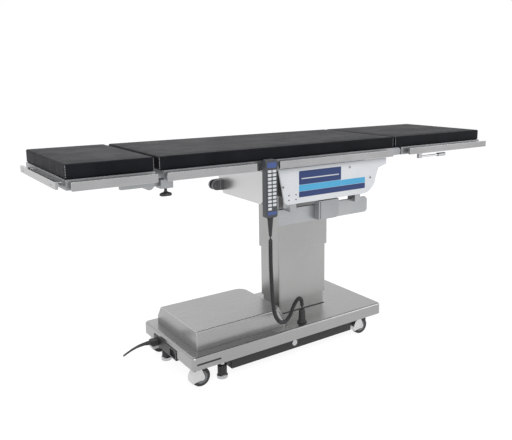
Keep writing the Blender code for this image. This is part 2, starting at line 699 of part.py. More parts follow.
# Saddle frame: two cheeks, two cross plates and the hanging beams
def saddle_frame():
    x = (SADDLE_HEAD_X, SADDLE_FOOT_X)
    ring = box(x, (-CHEEK_OUTER_Y, CHEEK_OUTER_Y), (SADDLE_BOTTOM, SADDLE_TOP))
    inside = box((x[0] + CROSS_THICK, x[1] - CROSS_THICK), (-CHEEK_INNER_Y, CHEEK_INNER_Y),
                 (SADDLE_BOTTOM - 0.01, SADDLE_TOP + 0.01))
    over = box((x[0] - 0.01, x[1] + 0.01), (-CHEEK_INNER_Y, CHEEK_INNER_Y), (PIVOT_Z, SADDLE_TOP + 0.01))
    bore = rod("y", (PIVOT_X, 0, PIVOT_Z), LONG_TILT_PIN + PIN_PLAY, -CHEEK_OUTER_Y - 0.01, CHEEK_OUTER_Y + 0.01)
    return cut(ring, inside, over, bore)


def side_plate(sign):
    """Plate with a rounded lower corner at each end and a narrow ear at the foot end."""
    corner_x = PLATE_HEAD_X + 0.045
    knee_x = PLATE_FOOT_X - 0.136
    knee = 0.075
    ear = PLATE_TOP - 0.026
    outline = [(PLATE_HEAD_X, PLATE_TOP)]
    outline += arc((corner_x, PLATE_BOTTOM + PLATE_CORNER), PLATE_CORNER, 180, 270, 5)
    outline += [(knee_x, PLATE_BOTTOM)]
    outline += arc((knee_x, PLATE_BOTTOM + knee), knee, -80, -5, 6)
    outline += [(knee_x + knee + 0.015, ear - 0.013), (PLATE_FOOT_X, ear), (PLATE_FOOT_X, PLATE_TOP)]
    low = CHEEK_OUTER_Y + TOUCH
    span = sorted((sign * low, sign * (low + PLATE_THICK)))
    return prism(outline, "y", *span)


def hanging_beam():
    """Bar on two hangers under the near cheek, its foot end chamfered."""
    tip = 0.010
    foot = BEAM_FOOT_X
    outline = [(BEAM_HEAD_X, BEAM_BOTTOM), (foot - tip, BEAM_BOTTOM), (foot, BEAM_BOTTOM + tip),
               (foot, BEAM_TOP - tip), (foot - tip, BEAM_TOP), (BEAM_HEAD_X, BEAM_TOP)]
    beam = prism(outline, "y", -BEAM_OUTER_Y, -BEAM_INNER_Y)
    reach = (-CHEEK_OUTER_Y + 0.006, -BEAM_INNER_Y)
    for x in (SADDLE_HEAD_X + 0.040, SADDLE_FOOT_X - 0.053):
        beam = fuse(beam, box((x, x + 0.030), reach, (BEAM_TOP - 0.006, SADDLE_BOTTOM - TOUCH)))
    return beam


def clamp_block():
    x = (BLOCK_HEAD_X, BLOCK_HEAD_X + BLOCK_LENGTH)
    z = (BEAM_BOTTOM + 0.008, BEAM_TOP + 0.020)
    chamfer = 0.014
    outline = [(x[0], z[0]), (x[1] - chamfer, z[0]), (x[1], z[0] + chamfer), (x[1], z[1]), (x[0], z[1])]
    return prism(outline, "y", -BEAM_OUTER_Y - BLOCK_THICK, -BEAM_OUTER_Y - TOUCH)


def saddle_cowl():
    """Folded tray that closes the saddle's head end, open towards the saddle and at the top."""
    x = (SADDLE_HEAD_X - COWL_LENGTH, SADDLE_HEAD_X - TOUCH)
    z = (COWL_TOP - COWL_DEPTH, COWL_TOP)
    in_y, up = COWL_CHAMFER

    def section(skin, high):
        half = COWL_HALF - skin
        return [(-half, z[0] + up), (-half + in_y, z[0] + skin), (half - in_y, z[0] + skin), (half, z[0] + up),
                (half, high), (-half, high)]

    return cut(prism(section(0.0, z[1]), "x", *x), prism(section(SKIN, z[1] + 0.01), "x", x[0] + SKIN, x[1] + 0.01))


def slide_drive():
    """Gear housing and roller clevis on the cowl's far side: it drives the top along the saddle."""
    root = SADDLE_HEAD_X - COWL_LENGTH - TOUCH
    tip = root - DRIVE_LENGTH
    axis_z = COWL_TOP - DRIVE_DROP
    radius = DRIVE_HALF
    shoulder = root - DRIVE_LENGTH / 3
    gearbox = box((shoulder, root), (DRIVE_Y - DRIVE_HALF, DRIVE_Y + DRIVE_HALF), (axis_z - radius, axis_z + radius))
    outline = arc((tip + radius, axis_z), radius, 90, 270, 8)
    outline += [(shoulder + 0.004, axis_z - radius), (shoulder + 0.004, axis_z + radius)]
    cheeks = [prism(outline, "y", y, y + 0.012) for y in (DRIVE_Y - DRIVE_HALF + 0.003, DRIVE_Y + DRIVE_HALF - 0.015)]
    pin = rod("y", (tip + radius, 0, axis_z), 0.008, DRIVE_Y - DRIVE_HALF, DRIVE_Y + DRIVE_HALF, 16)
    return fuse(gearbox, *cheeks, pin)


piece("saddle_frame", saddle_frame(), BLACK_STEEL, "saddle")
for side, sign in (("near", -1), ("far", 1)):
    piece("side_plate_" + side, side_plate(sign), PANEL_WHITE, "saddle", bevel=0.001, segments=1)
piece("hanging_beam", hanging_beam(), ALLOY, "saddle")
piece("clamp_block", clamp_block(), ALLOY, "saddle")
piece("saddle_cowl", saddle_cowl(), STAINLESS, "saddle")
piece("slide_drive", slide_drive(), BLACK_STEEL, "saddle")


# Section frames, hinge lugs and rails
def section_frame(x0, x1, ribs=()):
    """Board with side bars, end bars and ribs, open below."""
    frame = box((x0, x1), (-FRAME_Y, FRAME_Y), (FRAME_BOTTOM, FRAME_TOP))
    inner = FRAME_Y - BAR_WIDTH
    walls = [x0, *ribs, x1]
    for left, right in zip(walls, walls[1:]):
        pocket = box((left + 0.015, right - 0.015), (-inner, inner), (FRAME_BOTTOM - 0.01, FRAME_TOP - BOARD))
        frame = cut(frame, pocket)
    return frame


def lug(axis_x, axis_z, radius, root_x, y0, y1, bored):
    """Round-ended ear from a frame's end to its hinge axis, on one side."""
    toward = 1 if root_x > axis_x else -1
    start = 90 if toward > 0 else -90
    outline = arc((axis_x, axis_z), radius, start, start + 180, 8)
    outline += [(root_x, outline[-1][1]), (root_x, outline[0][1])]
    ear = prism(outline, "y", y0, y1)
    if bored:
        ear = cut(ear, rod("y", (axis_x, 0, axis_z), PIN_RADIUS + PIN_PLAY, y0 - 0.01, y1 + 0.01, 20))
    return ear


def outer_lugs(frame, axis_x, axis_z, radius, root_x):
    """Pair of outer ears with pins that point inwards."""
    for sign in (-1, 1):
        y = sorted((sign * LUG_OUTER_Y0, sign * FRAME_Y))
        pin = sorted((sign * (LUG_INNER_Y0 + 0.001), sign * (FRAME_Y - 0.004)))
        ear = fuse(lug(axis_x, axis_z, radius, root_x, *y, False), rod("y", (axis_x, 0, axis_z), PIN_RADIUS, *pin, 20))
        frame = fuse(frame, ear)
    return frame


def inner_lugs(frame, axis_x, axis_z, radius, root_x):
    for sign in (-1, 1):
        y = sorted((sign * LUG_INNER_Y0, sign * LUG_INNER_Y1))
        frame = fuse(frame, lug(axis_x, axis_z, radius, root_x, *y, True))
    return frame


def pendant_clip(frame_x):
    """Bracket under the near side bar that the hand control hangs on."""
    back = PENDANT_FRONT_Y + PENDANT_DEPTH + TOUCH
    z = (PLATE_TOP + 2 * TOUCH, FRAME_BOTTOM - 0.001)
    arm = box((PENDANT_X - 0.022, frame_x + 0.024), (back, -FRAME_Y - TOUCH), z)
    root = box((frame_x + 0.002, frame_x + 0.023), (-FRAME_Y - 0.002, -FRAME_Y + BAR_WIDTH / 2),
               (z[0] + 0.001, z[1] + 0.003))
    return fuse(arm, root)


def seat_frame():
    x0 = BACK_HINGE_X + FRAME_SETBACK
    span = BODY_FOOT_X - x0
    frame = section_frame(x0, BODY_FOOT_X, ribs=(x0 + span / 4, PIVOT_X, BODY_FOOT_X - span / 4))
    for sign in (-1, 1):
        y = sorted((sign * CHEEK_INNER_Y, sign * (CHEEK_OUTER_Y - 0.003)))
        frame = fuse(frame, box((SADDLE_HEAD_X, SADDLE_FOOT_X), y, (SADDLE_TOP + TOUCH, FRAME_BOTTOM + 0.002)))
    frame = outer_lugs(frame, BACK_HINGE_X, HINGE_Z, LUG_RADIUS, x0 + 0.002)
    frame = outer_lugs(frame, LEG_AXIS_X, HINGE_Z, LUG_RADIUS, BODY_FOOT_X - 0.002)
    return fuse(frame, pendant_clip(x0))


def back_frame():
    foot = BACK_HINGE_X - FRAME_SETBACK
    frame = section_frame(BACK_FRAME_HEAD_X, foot, ribs=((BACK_FRAME_HEAD_X + foot) / 2,))
    frame = inner_lugs(frame, BACK_HINGE_X, HINGE_Z, LUG_RADIUS, foot - 0.002)
    bracket_x = (HEAD_AXIS_X + 0.040, HEAD_AXIS_X + 0.085)
    for sign in (-1, 1):
        y = sorted((sign * LUG_INNER_Y0, sign * FRAME_Y))
        bracket = box(bracket_x, y, (HEAD_AXIS_Z - HEAD_LUG_RADIUS, FRAME_BOTTOM + 0.002))
        band = sorted((sign * LUG_INNER_Y0, sign * LUG_INNER_Y1))
        arm = box((HEAD_AXIS_X, bracket_x[0] + 0.002), band, (HEAD_AXIS_Z - 0.0105, HEAD_AXIS_Z + 0.0105))
        eye = rod("y", (HEAD_AXIS_X, 0, HEAD_AXIS_Z), HEAD_LUG_RADIUS, *band, 24)
        bore = rod("y", (HEAD_AXIS_X, 0, HEAD_AXIS_Z), PIN_RADIUS + PIN_PLAY, band[0] - 0.01, band[1] + 0.01, 20)
        frame = fuse(frame, cut(fuse(bracket, fuse(arm, eye)), bore))
    return frame


def head_frame():
    frame = section_frame(HEAD_PAD_HEAD_X, HEAD_FRAME_FOOT_X)
    for sign in (-1, 1):
        band = sorted((sign * (LUG_INNER_Y0 - TOUCH), sign * LUG_OUTER_Y0))
        relief = box((HEAD_AXIS_X - HEAD_LUG_RADIUS - 0.001, HEAD_FRAME_FOOT_X + 0.01), band,
                     (FRAME_BOTTOM - 0.01, FRAME_TOP - BOARD))
        frame = cut(frame, relief)
        y = sorted((sign * LUG_OUTER_Y0, sign * FRAME_Y))
        outline = [(HEAD_AXIS_X - 0.097, HEAD_AXIS_Z - 0.006)]
        outline += arc((HEAD_AXIS_X, HEAD_AXIS_Z), HEAD_LUG_RADIUS, 201, 390, 12)
        outline += [(outline[-1][0], FRAME_BOTTOM + 0.008), (outline[0][0], FRAME_BOTTOM + 0.008)]
        pin_y = sorted((sign * (LUG_INNER_Y0 + 0.001), sign * (FRAME_Y - 0.004)))
        pin = rod("y", (HEAD_AXIS_X, 0, HEAD_AXIS_Z), PIN_RADIUS, *pin_y, 20)
        frame = fuse(frame, fuse(prism(outline, "y", *y), pin))
    return frame


def leg_frame():
    head = LEG_AXIS_X + FRAME_SETBACK
    bay = (LEG_PAD_FOOT_X - head) / 3
    frame = section_frame(head, LEG_PAD_FOOT_X, ribs=(head + bay, LEG_PAD_FOOT_X - bay))
    return inner_lugs(frame, LEG_AXIS_X, HINGE_Z, LUG_RADIUS, head + 0.002)


def side_rail(x0, x1, sign):
    z = (RAIL_Z - RAIL_HEIGHT / 2, RAIL_Z + RAIL_HEIGHT / 2)
    inner = FRAME_Y + RAIL_GAP
    y = sorted((sign * inner, sign * (inner + RAIL_THICK)))
    bar = prism(rounded((x0, x1), z, 0.003, 2), "y", *y)
    stub = sorted((sign * (FRAME_Y + TOUCH), sign * (inner + RAIL_THICK / 2)))
    count = 2 if x1 - x0 < 0.45 else 3
    for i in range(count):
        x = x0 + STUD_MARGIN + (x1 - x0 - 2 * STUD_MARGIN) * i / (count - 1)
        bar = fuse(bar, rod("y", (x, 0, RAIL_Z), STUD_RADIUS, *stub, 16))
    return bar


def end_rail():
    z = (RAIL_Z - END_RAIL_HEIGHT / 2, RAIL_Z + END_RAIL_HEIGHT / 2)
    x = (HEAD_PAD_HEAD_X - RAIL_GAP - RAIL_THICK, HEAD_PAD_HEAD_X - RAIL_GAP)
    bar = box(x, (-END_RAIL_HALF, END_RAIL_HALF), z)
    for y in (-END_RAIL_HALF + STUD_MARGIN, END_RAIL_HALF - STUD_MARGIN):
        bar = fuse(bar, rod("x", (0, y, RAIL_Z), STUD_RADIUS, x[1] - 0.001, HEAD_PAD_HEAD_X - TOUCH, 16))
    return bar


piece("seat_frame", seat_frame(), ALLOY, "seat")
piece("back_frame", back_frame(), ALLOY, "back")
piece("head_frame", head_frame(), ALLOY, "head")
piece("leg_frame", leg_frame(), ALLOY, "leg")
for side, sign in (("near", -1), ("far", 1)):
    piece("head_rail_" + side, side_rail(HEAD_PAD_HEAD_X + 0.009, HEAD_PAD_FOOT_X - 0.0015, sign), CHROME, "head")
    piece("back_rail_" + side, side_rail(BODY_HEAD_X + RAIL_SHORT, BACK_HINGE_X - 0.055, sign), CHROME, "back")
    piece("seat_rail_" + side, side_rail(BACK_HINGE_X + 0.047, BODY_FOOT_X - 0.030, sign), CHROME, "seat")
    piece("leg_rail_" + side, side_rail(LEG_AXIS_X + 0.050, LEG_PAD_FOOT_X + 0.023, sign), CHROME, "leg")
piece("head_rail_end", end_rail(), CHROME, "head")


# Pads: foam in black vinyl; the two short lengths over the hinges are the foam that gives
def pad(name, x0, x1, carrier, bevel=PAD_CORNER):
    shape = box((x0, x1), (-PAD_WIDTH / 2, PAD_WIDTH / 2), (PAD_BOTTOM, TOP_HEIGHT))
    piece(name, shape, VINYL, carrier, bevel=bevel)


pad("head_pad", HEAD_PAD_HEAD_X, HEAD_PAD_FOOT_X - FLEX_HEAD - TOUCH, "head")
pad("head_pad_flex", HEAD_PAD_FOOT_X - FLEX_HEAD, HEAD_PAD_FOOT_X, "head")
pad("back_pad", BODY_HEAD_X, FLEX_X[0] - TOUCH, "back")
pad("body_pad_flex", *FLEX_X, "back")
pad("seat_pad", FLEX_X[1] + TOUCH, BODY_FOOT_X, "seat")
pad("leg_pad", LEG_PAD_HEAD_X, LEG_PAD_FOOT_X, "leg")


# Controls on the top: the head clamp's wing knob and the leg release lever
KNOB_X = HEAD_AXIS_X + KNOB_REACH


def head_knob():
    seat = HEAD_AXIS_Z - HEAD_LUG_RADIUS - TOUCH
    stem = rod("z", (KNOB_X, KNOB_Y, 0), 0.005, seat - 0.016, seat, 16)
    wing = prism(rounded((KNOB_X - 0.022, KNOB_X + 0.022), (KNOB_Y - 0.006, KNOB_Y + 0.006), 0.0055, 3),
                 "z", seat - 0.028, seat - 0.012)
    hub = rod("z", (KNOB_X, KNOB_Y, 0), 0.011, seat - 0.026, seat - 0.010, 20)
    return fuse(fuse(wing, hub), stem)


LEVER_X = LEG_AXIS_X + LEVER_REACH


def leg_lever():
    z = FRAME_BOTTOM - TOUCH
    pivot = rod("z", (LEVER_X, LEVER_Y, 0), 0.012, z - 0.030, z, 20)
    tip = LEVER_X + LEVER_LENGTH
    arm = rod("x", (0, LEVER_Y, z - 0.024), 0.005, LEVER_X, tip - 0.025, 12)
    grip = rod("x", (0, LEVER_Y, z - 0.024), 0.009, tip - 0.050, tip, 16)
    return fuse(fuse(pivot, arm), grip)


body("knob", (KNOB_X, KNOB_Y, HEAD_AXIS_Z), "back")
body("lever", (LEVER_X, LEVER_Y, FRAME_BOTTOM), "leg")
piece("head_clamp_knob", head_knob(), PLASTIC, "knob")
piece("leg_release_lever", leg_lever(), CHROME, "lever")


# Hand control in its clip on the seat frame, and its strain relief
def pendant_body():
    half = PENDANT_WIDTH / 2
    y = (PENDANT_FRONT_Y, PENDANT_FRONT_Y + PENDANT_DEPTH)
    return prism(rounded((PENDANT_X - half, PENDANT_X + half), (PENDANT_BOTTOM, PENDANT_TOP), 0.008, 4), "y", *y)


def pendant_relief():
    top = PENDANT_BOTTOM - TOUCH
    middle = (PENDANT_X, PENDANT_FRONT_Y + PENDANT_DEPTH / 2, 0)
    return turned([(0, RELIEF_BOTTOM), (0.0055, RELIEF_BOTTOM), (0.0065, RELIEF_BOTTOM + 0.012),
                   (0.0110, top - 0.006), (0.0125, top), (0, top)], "z", middle, 20)


body("pendant", (PENDANT_X, PENDANT_FRONT_Y + PENDANT_DEPTH / 2, PENDANT_BOTTOM), "seat")
piece("pendant_body", pendant_body(), PLASTIC, "pendant", bevel=0.003)
piece("pendant_relief", pendant_relief(), RUBBER, "pendant")


# Cords
def smooth_route(points, spacing):
    """Points read at an even spacing from a smooth curve through the route's own points."""
    knots = [Vector(p) for p in points]
    knots = [2 * knots[0] - knots[1]] + knots + [2 * knots[-1] - knots[-2]]
    fine = []
    for i in range(1, len(knots) - 2):
        a, b, c, d = knots[i - 1:i + 3]
        for step in range(40):
            t = step / 40
            fine.append(0.5 * (2 * b + (c - a) * t + (2 * a - 5 * b + 4 * c - d) * t * t
                               + (3 * b - a - 3 * c + d) * t ** 3))
    fine.append(knots[-2])
    length = sum((q - p).length for p, q in zip(fine, fine[1:]))
    count = max(2, round(length / spacing))
    spots, walked, target = [fine[0]], 0.0, length / count
    for p, q in zip(fine, fine[1:]):
        stretch = (q - p).length
        while walked + stretch >= target * len(spots) and len(spots) < count:
            spots.append(p.lerp(q, (target * len(spots) - walked) / stretch))
        walked += stretch
    return spots + [fine[-1]]


def cord(name, points, diameter, spacing, finish, carrier):
    """Tube along a route whose first and last stretches are straight."""
    spots = [Vector(points[0])] + smooth_route(points[1:-1], spacing * diameter) + [Vector(points[-1])]
    curve = bpy.data.curves.new(name, "CURVE")
    curve.dimensions = "3D"
    curve.bevel_depth = diameter / 2
    curve.bevel_resolution = 2
    curve.use_fill_caps = True
    line = curve.splines.new("POLY")
    line.points.add(len(spots) - 1)
    for point, spot in zip(line.points, spots):
        point.co = (*(spot - Vector(bodies[carrier]["place"])), 1.0)
    curve.materials.append(finish)
    made = bpy.data.objects.new(name, curve)
    made.parent = bodies[carrier]
    bpy.context.collection.objects.link(made)


PENDANT_CORD_Y = PENDANT_FRONT_Y + PENDANT_DEPTH / 2
CURLY_ROUTE = [
    (PENDANT_X, PENDANT_CORD_Y, RELIEF_BOTTOM - TOUCH),
    (PENDANT_X, PENDANT_CORD_Y, 0.530),
    (-0.275, -0.281, 0.460),
    (-0.271, -0.279, 0.390),
    (-0.265, -0.276, 0.320),
    (-0.251, -0.269, 0.250),
    (-0.220, -0.256, 0.203),
    (-0.180, -0.240, 0.187),
    (-0.143, -0.224, 0.203),
    (-0.113, -0.211, 0.236),
    (-0.082, -0.199, 0.250),
    (SOCKET_X - 0.004, SOCKET_Y - 0.0015, 0.236),
    (SOCKET_X, SOCKET_Y, SOCKET_TOP + 0.012),
    (SOCKET_X, SOCKET_Y, SOCKET_TOP + TOUCH),
]
COIL_OUTER = (COIL_TURN_DIAMETER + COIL_WIDTH) / 2
COIL_ENTRY_Y = COIL_Y - COIL_OUTER + MAINS_DIAMETER / 2 + 0.0005
COIL_ENTRY_X = COIL_X - 0.038
CONNECTOR_TIP = SKIRT_HEAD_X - 0.003 - PLUG_LENGTH - 2 * TOUCH
FLOOR_Z = MAINS_DIAMETER / 2 + TOUCH
MAINS_ROUTE = [
    (CONNECTOR_TIP, PLUG_Y, PLUG_Z),
    (CONNECTOR_TIP - 0.010, PLUG_Y, PLUG_Z),
    (CONNECTOR_TIP - 0.030, PLUG_Y + 0.006, PLUG_Z - 0.010),
    (CONNECTOR_TIP - 0.045, PLUG_Y + 0.026, PLUG_Z - 0.036),
    (-0.690, 0.150, 0.030),
    (-0.700, 0.195, 0.008),
    (-0.690, 0.240, FLOOR_Z),
    (-0.655, 0.285, FLOOR_Z),
    (-0.590, 0.318, FLOOR_Z),
    (-0.500, 0.322, FLOOR_Z),
    (-0.410, 0.302, FLOOR_Z),
    (-0.340, COIL_ENTRY_Y + 0.0009, FLOOR_Z),
    (-0.290, COIL_ENTRY_Y, FLOOR_Z),
    (COIL_ENTRY_X - 0.006, COIL_ENTRY_Y, FLOOR_Z),
    (COIL_ENTRY_X - TOUCH, COIL_ENTRY_Y, FLOOR_Z),
]


def mains_coil():
    """Pack of turns, with the end of its lowest outer turn."""
    inner = COIL_OUTER - COIL_WIDTH
    outer = COIL_OUTER
    edge = 0.006
    low = TOUCH
    high = COIL_HEIGHT
    profile = [(inner, low + edge), (inner + edge, low), (outer - edge, low), (outer, low + edge),
               (outer, high - edge), (outer - edge, high), (inner + edge, high), (inner, high - edge)]
    pack = turned(profile, "z", (COIL_X, COIL_Y, 0), 28)
    first_turn = rod("x", (0, COIL_ENTRY_Y, FLOOR_Z), MAINS_DIAMETER / 2, COIL_ENTRY_X, COIL_X - 0.010, 12)
    return fuse(pack, first_turn)


WALL_PLUG_X = COIL_X + COIL_OUTER + WALL_PLUG_RADIUS + TOUCH


def wall_plug():
    low = TOUCH
    shell = turned([(0, low), (WALL_PLUG_RADIUS - 0.002, low), (WALL_PLUG_RADIUS, low + 0.004),
                    (WALL_PLUG_RADIUS, low + 0.030), (0.012, low + 0.036), (0, low + 0.036)],
                   "z", (WALL_PLUG_X, COIL_Y, 0), 24)
    for offset in (-0.006, 0.006):
        blade = box((WALL_PLUG_X - 0.003, WALL_PLUG_X + 0.003), (COIL_Y + offset - 0.0008, COIL_Y + offset + 0.0008),
                    (low + 0.034, low + 0.054))
        shell = fuse(shell, blade)
    return shell


cord("pendant_cord", CURLY_ROUTE, CURLY_DIAMETER, 1.2, RUBBER, "base")
cord("mains_cord", MAINS_ROUTE, MAINS_DIAMETER, 2.2, RUBBER, "base")
piece("mains_coil", mains_coil(), RUBBER, "base")
piece("wall_plug", wall_plug(), RUBBER, "base")
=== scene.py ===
import json
from math import cos, pi, radians, sin

import bmesh
import bpy
from mathutils import Matrix, Vector


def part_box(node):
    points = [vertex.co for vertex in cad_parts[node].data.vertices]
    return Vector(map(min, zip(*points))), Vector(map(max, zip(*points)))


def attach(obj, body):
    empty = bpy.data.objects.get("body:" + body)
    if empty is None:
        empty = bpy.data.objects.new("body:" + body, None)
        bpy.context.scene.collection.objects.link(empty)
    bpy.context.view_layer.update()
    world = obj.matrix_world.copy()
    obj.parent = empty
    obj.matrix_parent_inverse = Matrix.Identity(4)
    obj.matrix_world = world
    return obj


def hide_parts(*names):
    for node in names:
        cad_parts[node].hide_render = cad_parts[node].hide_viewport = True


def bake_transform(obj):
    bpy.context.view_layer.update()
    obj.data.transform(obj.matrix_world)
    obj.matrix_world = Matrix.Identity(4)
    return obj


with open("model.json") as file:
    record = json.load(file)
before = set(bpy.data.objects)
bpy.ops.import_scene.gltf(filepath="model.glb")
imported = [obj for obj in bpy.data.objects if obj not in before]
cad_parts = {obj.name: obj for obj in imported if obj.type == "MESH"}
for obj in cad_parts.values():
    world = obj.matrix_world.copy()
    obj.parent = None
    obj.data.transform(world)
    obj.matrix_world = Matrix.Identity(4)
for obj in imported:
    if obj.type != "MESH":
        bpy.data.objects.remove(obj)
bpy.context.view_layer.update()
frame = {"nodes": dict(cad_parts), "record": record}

nodes = frame["nodes"]

# Studio: the camera stands off the head end's near corner, a little above the pads. The table is on a
# pale seamless floor under three wide soft lamps: the main one from the front left, a weak one from the
# right and one above and behind.
def added(name, data):
    """Object with that mesh, lamp or camera, put into the scene."""
    made = bpy.data.objects.new(name, data)
    bpy.context.collection.objects.link(made)
    return made


camera = added("camera", bpy.data.cameras.new("camera"))
camera.data.lens = 42.84
camera.data.sensor_width = 36.0
camera.data.shift_x = -0.0977
camera.data.shift_y = -0.0781
camera.location = (-1.5178, -2.1490, 1.1651)
camera.rotation_euler = (pi / 2 - 0.1693, 0.0, -0.6472)
bpy.context.scene.camera = camera
bpy.context.scene.view_settings.view_transform = "Standard"


def lamp(name, place, aim, size, watts):
    """Round area lamp that faces its aim."""
    data = bpy.data.lights.new(name, "AREA")
    data.shape = "DISK"
    data.size = size
    data.energy = watts
    made = added(name, data)
    made.location = place
    made.rotation_euler = (Vector(aim) - Vector(place)).to_track_quat("-Z", "Y").to_euler()


lamp("key_lamp", (-2.6, -3.2, 3.4), (0, 0, 0.6), 2.6, 95)
lamp("fill_lamp", (3.4, -2.4, 2.2), (0.2, 0, 0.5), 2.4, 28)
lamp("top_lamp", (0.4, 1.6, 3.8), (0.1, 0, 0.7), 3.0, 55)


def seen_directly(tree):
    """Factor that is 1 where the camera, a reflection or glass sees the surface."""
    path = tree.nodes.new("ShaderNodeLightPath")
    first = tree.nodes.new("ShaderNodeMath")
    first.operation = "MAXIMUM"
    tree.links.new(path.outputs["Is Camera Ray"], first.inputs[0])
    tree.links.new(path.outputs["Is Glossy Ray"], first.inputs[1])
    second = tree.nodes.new("ShaderNodeMath")
    second.operation = "MAXIMUM"
    tree.links.new(first.outputs[0], second.inputs[0])
    tree.links.new(path.outputs["Is Transmission Ray"], second.inputs[1])
    return second.outputs[0]


world = bpy.data.worlds.new("studio")
bpy.context.scene.world = world
world.use_nodes = True
room_light = world.node_tree.nodes["Background"]
room_light.inputs["Color"].default_value = (0.93, 0.96, 1.0, 1.0)
room_light.inputs["Strength"].default_value = 0.55
white_wall = world.node_tree.nodes.new("ShaderNodeBackground")
white_wall.inputs["Color"].default_value = (1.0, 1.0, 1.0, 1.0)
white_wall.inputs["Strength"].default_value = 1.0
either = world.node_tree.nodes.new("ShaderNodeMixShader")
world.node_tree.links.new(seen_directly(world.node_tree), either.inputs[0])
world.node_tree.links.new(room_light.outputs[0], either.inputs[1])
world.node_tree.links.new(white_wall.outputs[0], either.inputs[2])
world.node_tree.links.new(either.outputs[0], world.node_tree.nodes["World Output"].inputs["Surface"])

floor_mesh = bpy.data.meshes.new("floor")
floor_mesh.from_pydata([(-9, -9, 0), (9, -9, 0), (9, 9, 0), (-9, 9, 0)], [], [(0, 1, 2, 3)])
floor_plane = added("floor", floor_mesh)
paper = bpy.data.materials.new("seamless_paper")
paper.use_nodes = True
paper_nodes = paper.node_tree.nodes
paper_nodes["Principled BSDF"].inputs["Base Color"].default_value = (0.86, 0.86, 0.86, 1.0)
paper_nodes["Principled BSDF"].inputs["Roughness"].default_value = 0.9
paper_glow = paper_nodes.new("ShaderNodeEmission")
paper_glow.inputs["Strength"].default_value = 1.15
paper_part = paper_nodes.new("ShaderNodeMath")
paper_part.operation = "MULTIPLY"
paper_part.inputs[1].default_value = 0.80
paper_mix = paper_nodes.new("ShaderNodeMixShader")
paper.node_tree.links.new(seen_directly(paper.node_tree), paper_part.inputs[0])
paper.node_tree.links.new(paper_part.outputs[0], paper_mix.inputs[0])
paper.node_tree.links.new(paper_nodes["Principled BSDF"].outputs[0], paper_mix.inputs[1])
paper.node_tree.links.new(paper_glow.outputs[0], paper_mix.inputs[2])
paper.node_tree.links.new(paper_mix.outputs[0], paper_nodes["Material Output"].inputs["Surface"])
floor_mesh.materials.append(paper)


# Pads: black conductive vinyl over firm foam, sewn along every edge and held on the frames by hook tape.
# The body pad is one piece over the back hinge and the head pad one piece to its foot end; both are fixed
# where they are made.
def grain_group():
    """Fine moulded or rubbed grain: a height, a light and dark tone, and broad clouding."""
    made = bpy.data.node_groups.new("surface_grain", "ShaderNodeTree")
    inputs = (("Stretch", "NodeSocketVector", (1, 1, 1)), ("Fineness", "NodeSocketFloat", 400),
              ("Cloud Size", "NodeSocketFloat", 6))
    for name, kind, value in inputs:
        made.interface.new_socket(name, in_out="INPUT", socket_type=kind).default_value = value
    for name in ("Height", "Tone", "Cloud"):
        made.interface.new_socket(name, in_out="OUTPUT", socket_type="NodeSocketFloat")
    source = made.nodes.new("NodeGroupInput")
    result = made.nodes.new("NodeGroupOutput")
    place = made.nodes.new("ShaderNodeTexCoord")
    stretch = made.nodes.new("ShaderNodeMapping")
    made.links.new(place.outputs["Object"], stretch.inputs["Vector"])
    made.links.new(source.outputs["Stretch"], stretch.inputs["Scale"])
    fine = made.nodes.new("ShaderNodeTexNoise")
    fine.inputs["Detail"].default_value = 3.0
    made.links.new(stretch.outputs[0], fine.inputs["Vector"])
    made.links.new(source.outputs["Fineness"], fine.inputs["Scale"])
    broad = made.nodes.new("ShaderNodeTexNoise")
    broad.inputs["Detail"].default_value = 4.0
    made.links.new(place.outputs["Object"], broad.inputs["Vector"])
    made.links.new(source.outputs["Cloud Size"], broad.inputs["Scale"])
    spread = made.nodes.new("ShaderNodeMapRange")
    spread.inputs["From Min"].default_value = 0.35
    spread.inputs["From Max"].default_value = 0.65
    made.links.new(broad.outputs["Fac"], spread.inputs["Value"])
    tone = made.nodes.new("ShaderNodeMapRange")
    tone.inputs["From Min"].default_value = 0.3
    tone.inputs["From Max"].default_value = 0.7
    made.links.new(fine.outputs["Fac"], tone.inputs["Value"])
    made.links.new(fine.outputs["Fac"], result.inputs["Height"])
    made.links.new(tone.outputs[0], result.inputs["Tone"])
    made.links.new(spread.outputs[0], result.inputs["Cloud"])
    return made


surface_grain = grain_group()


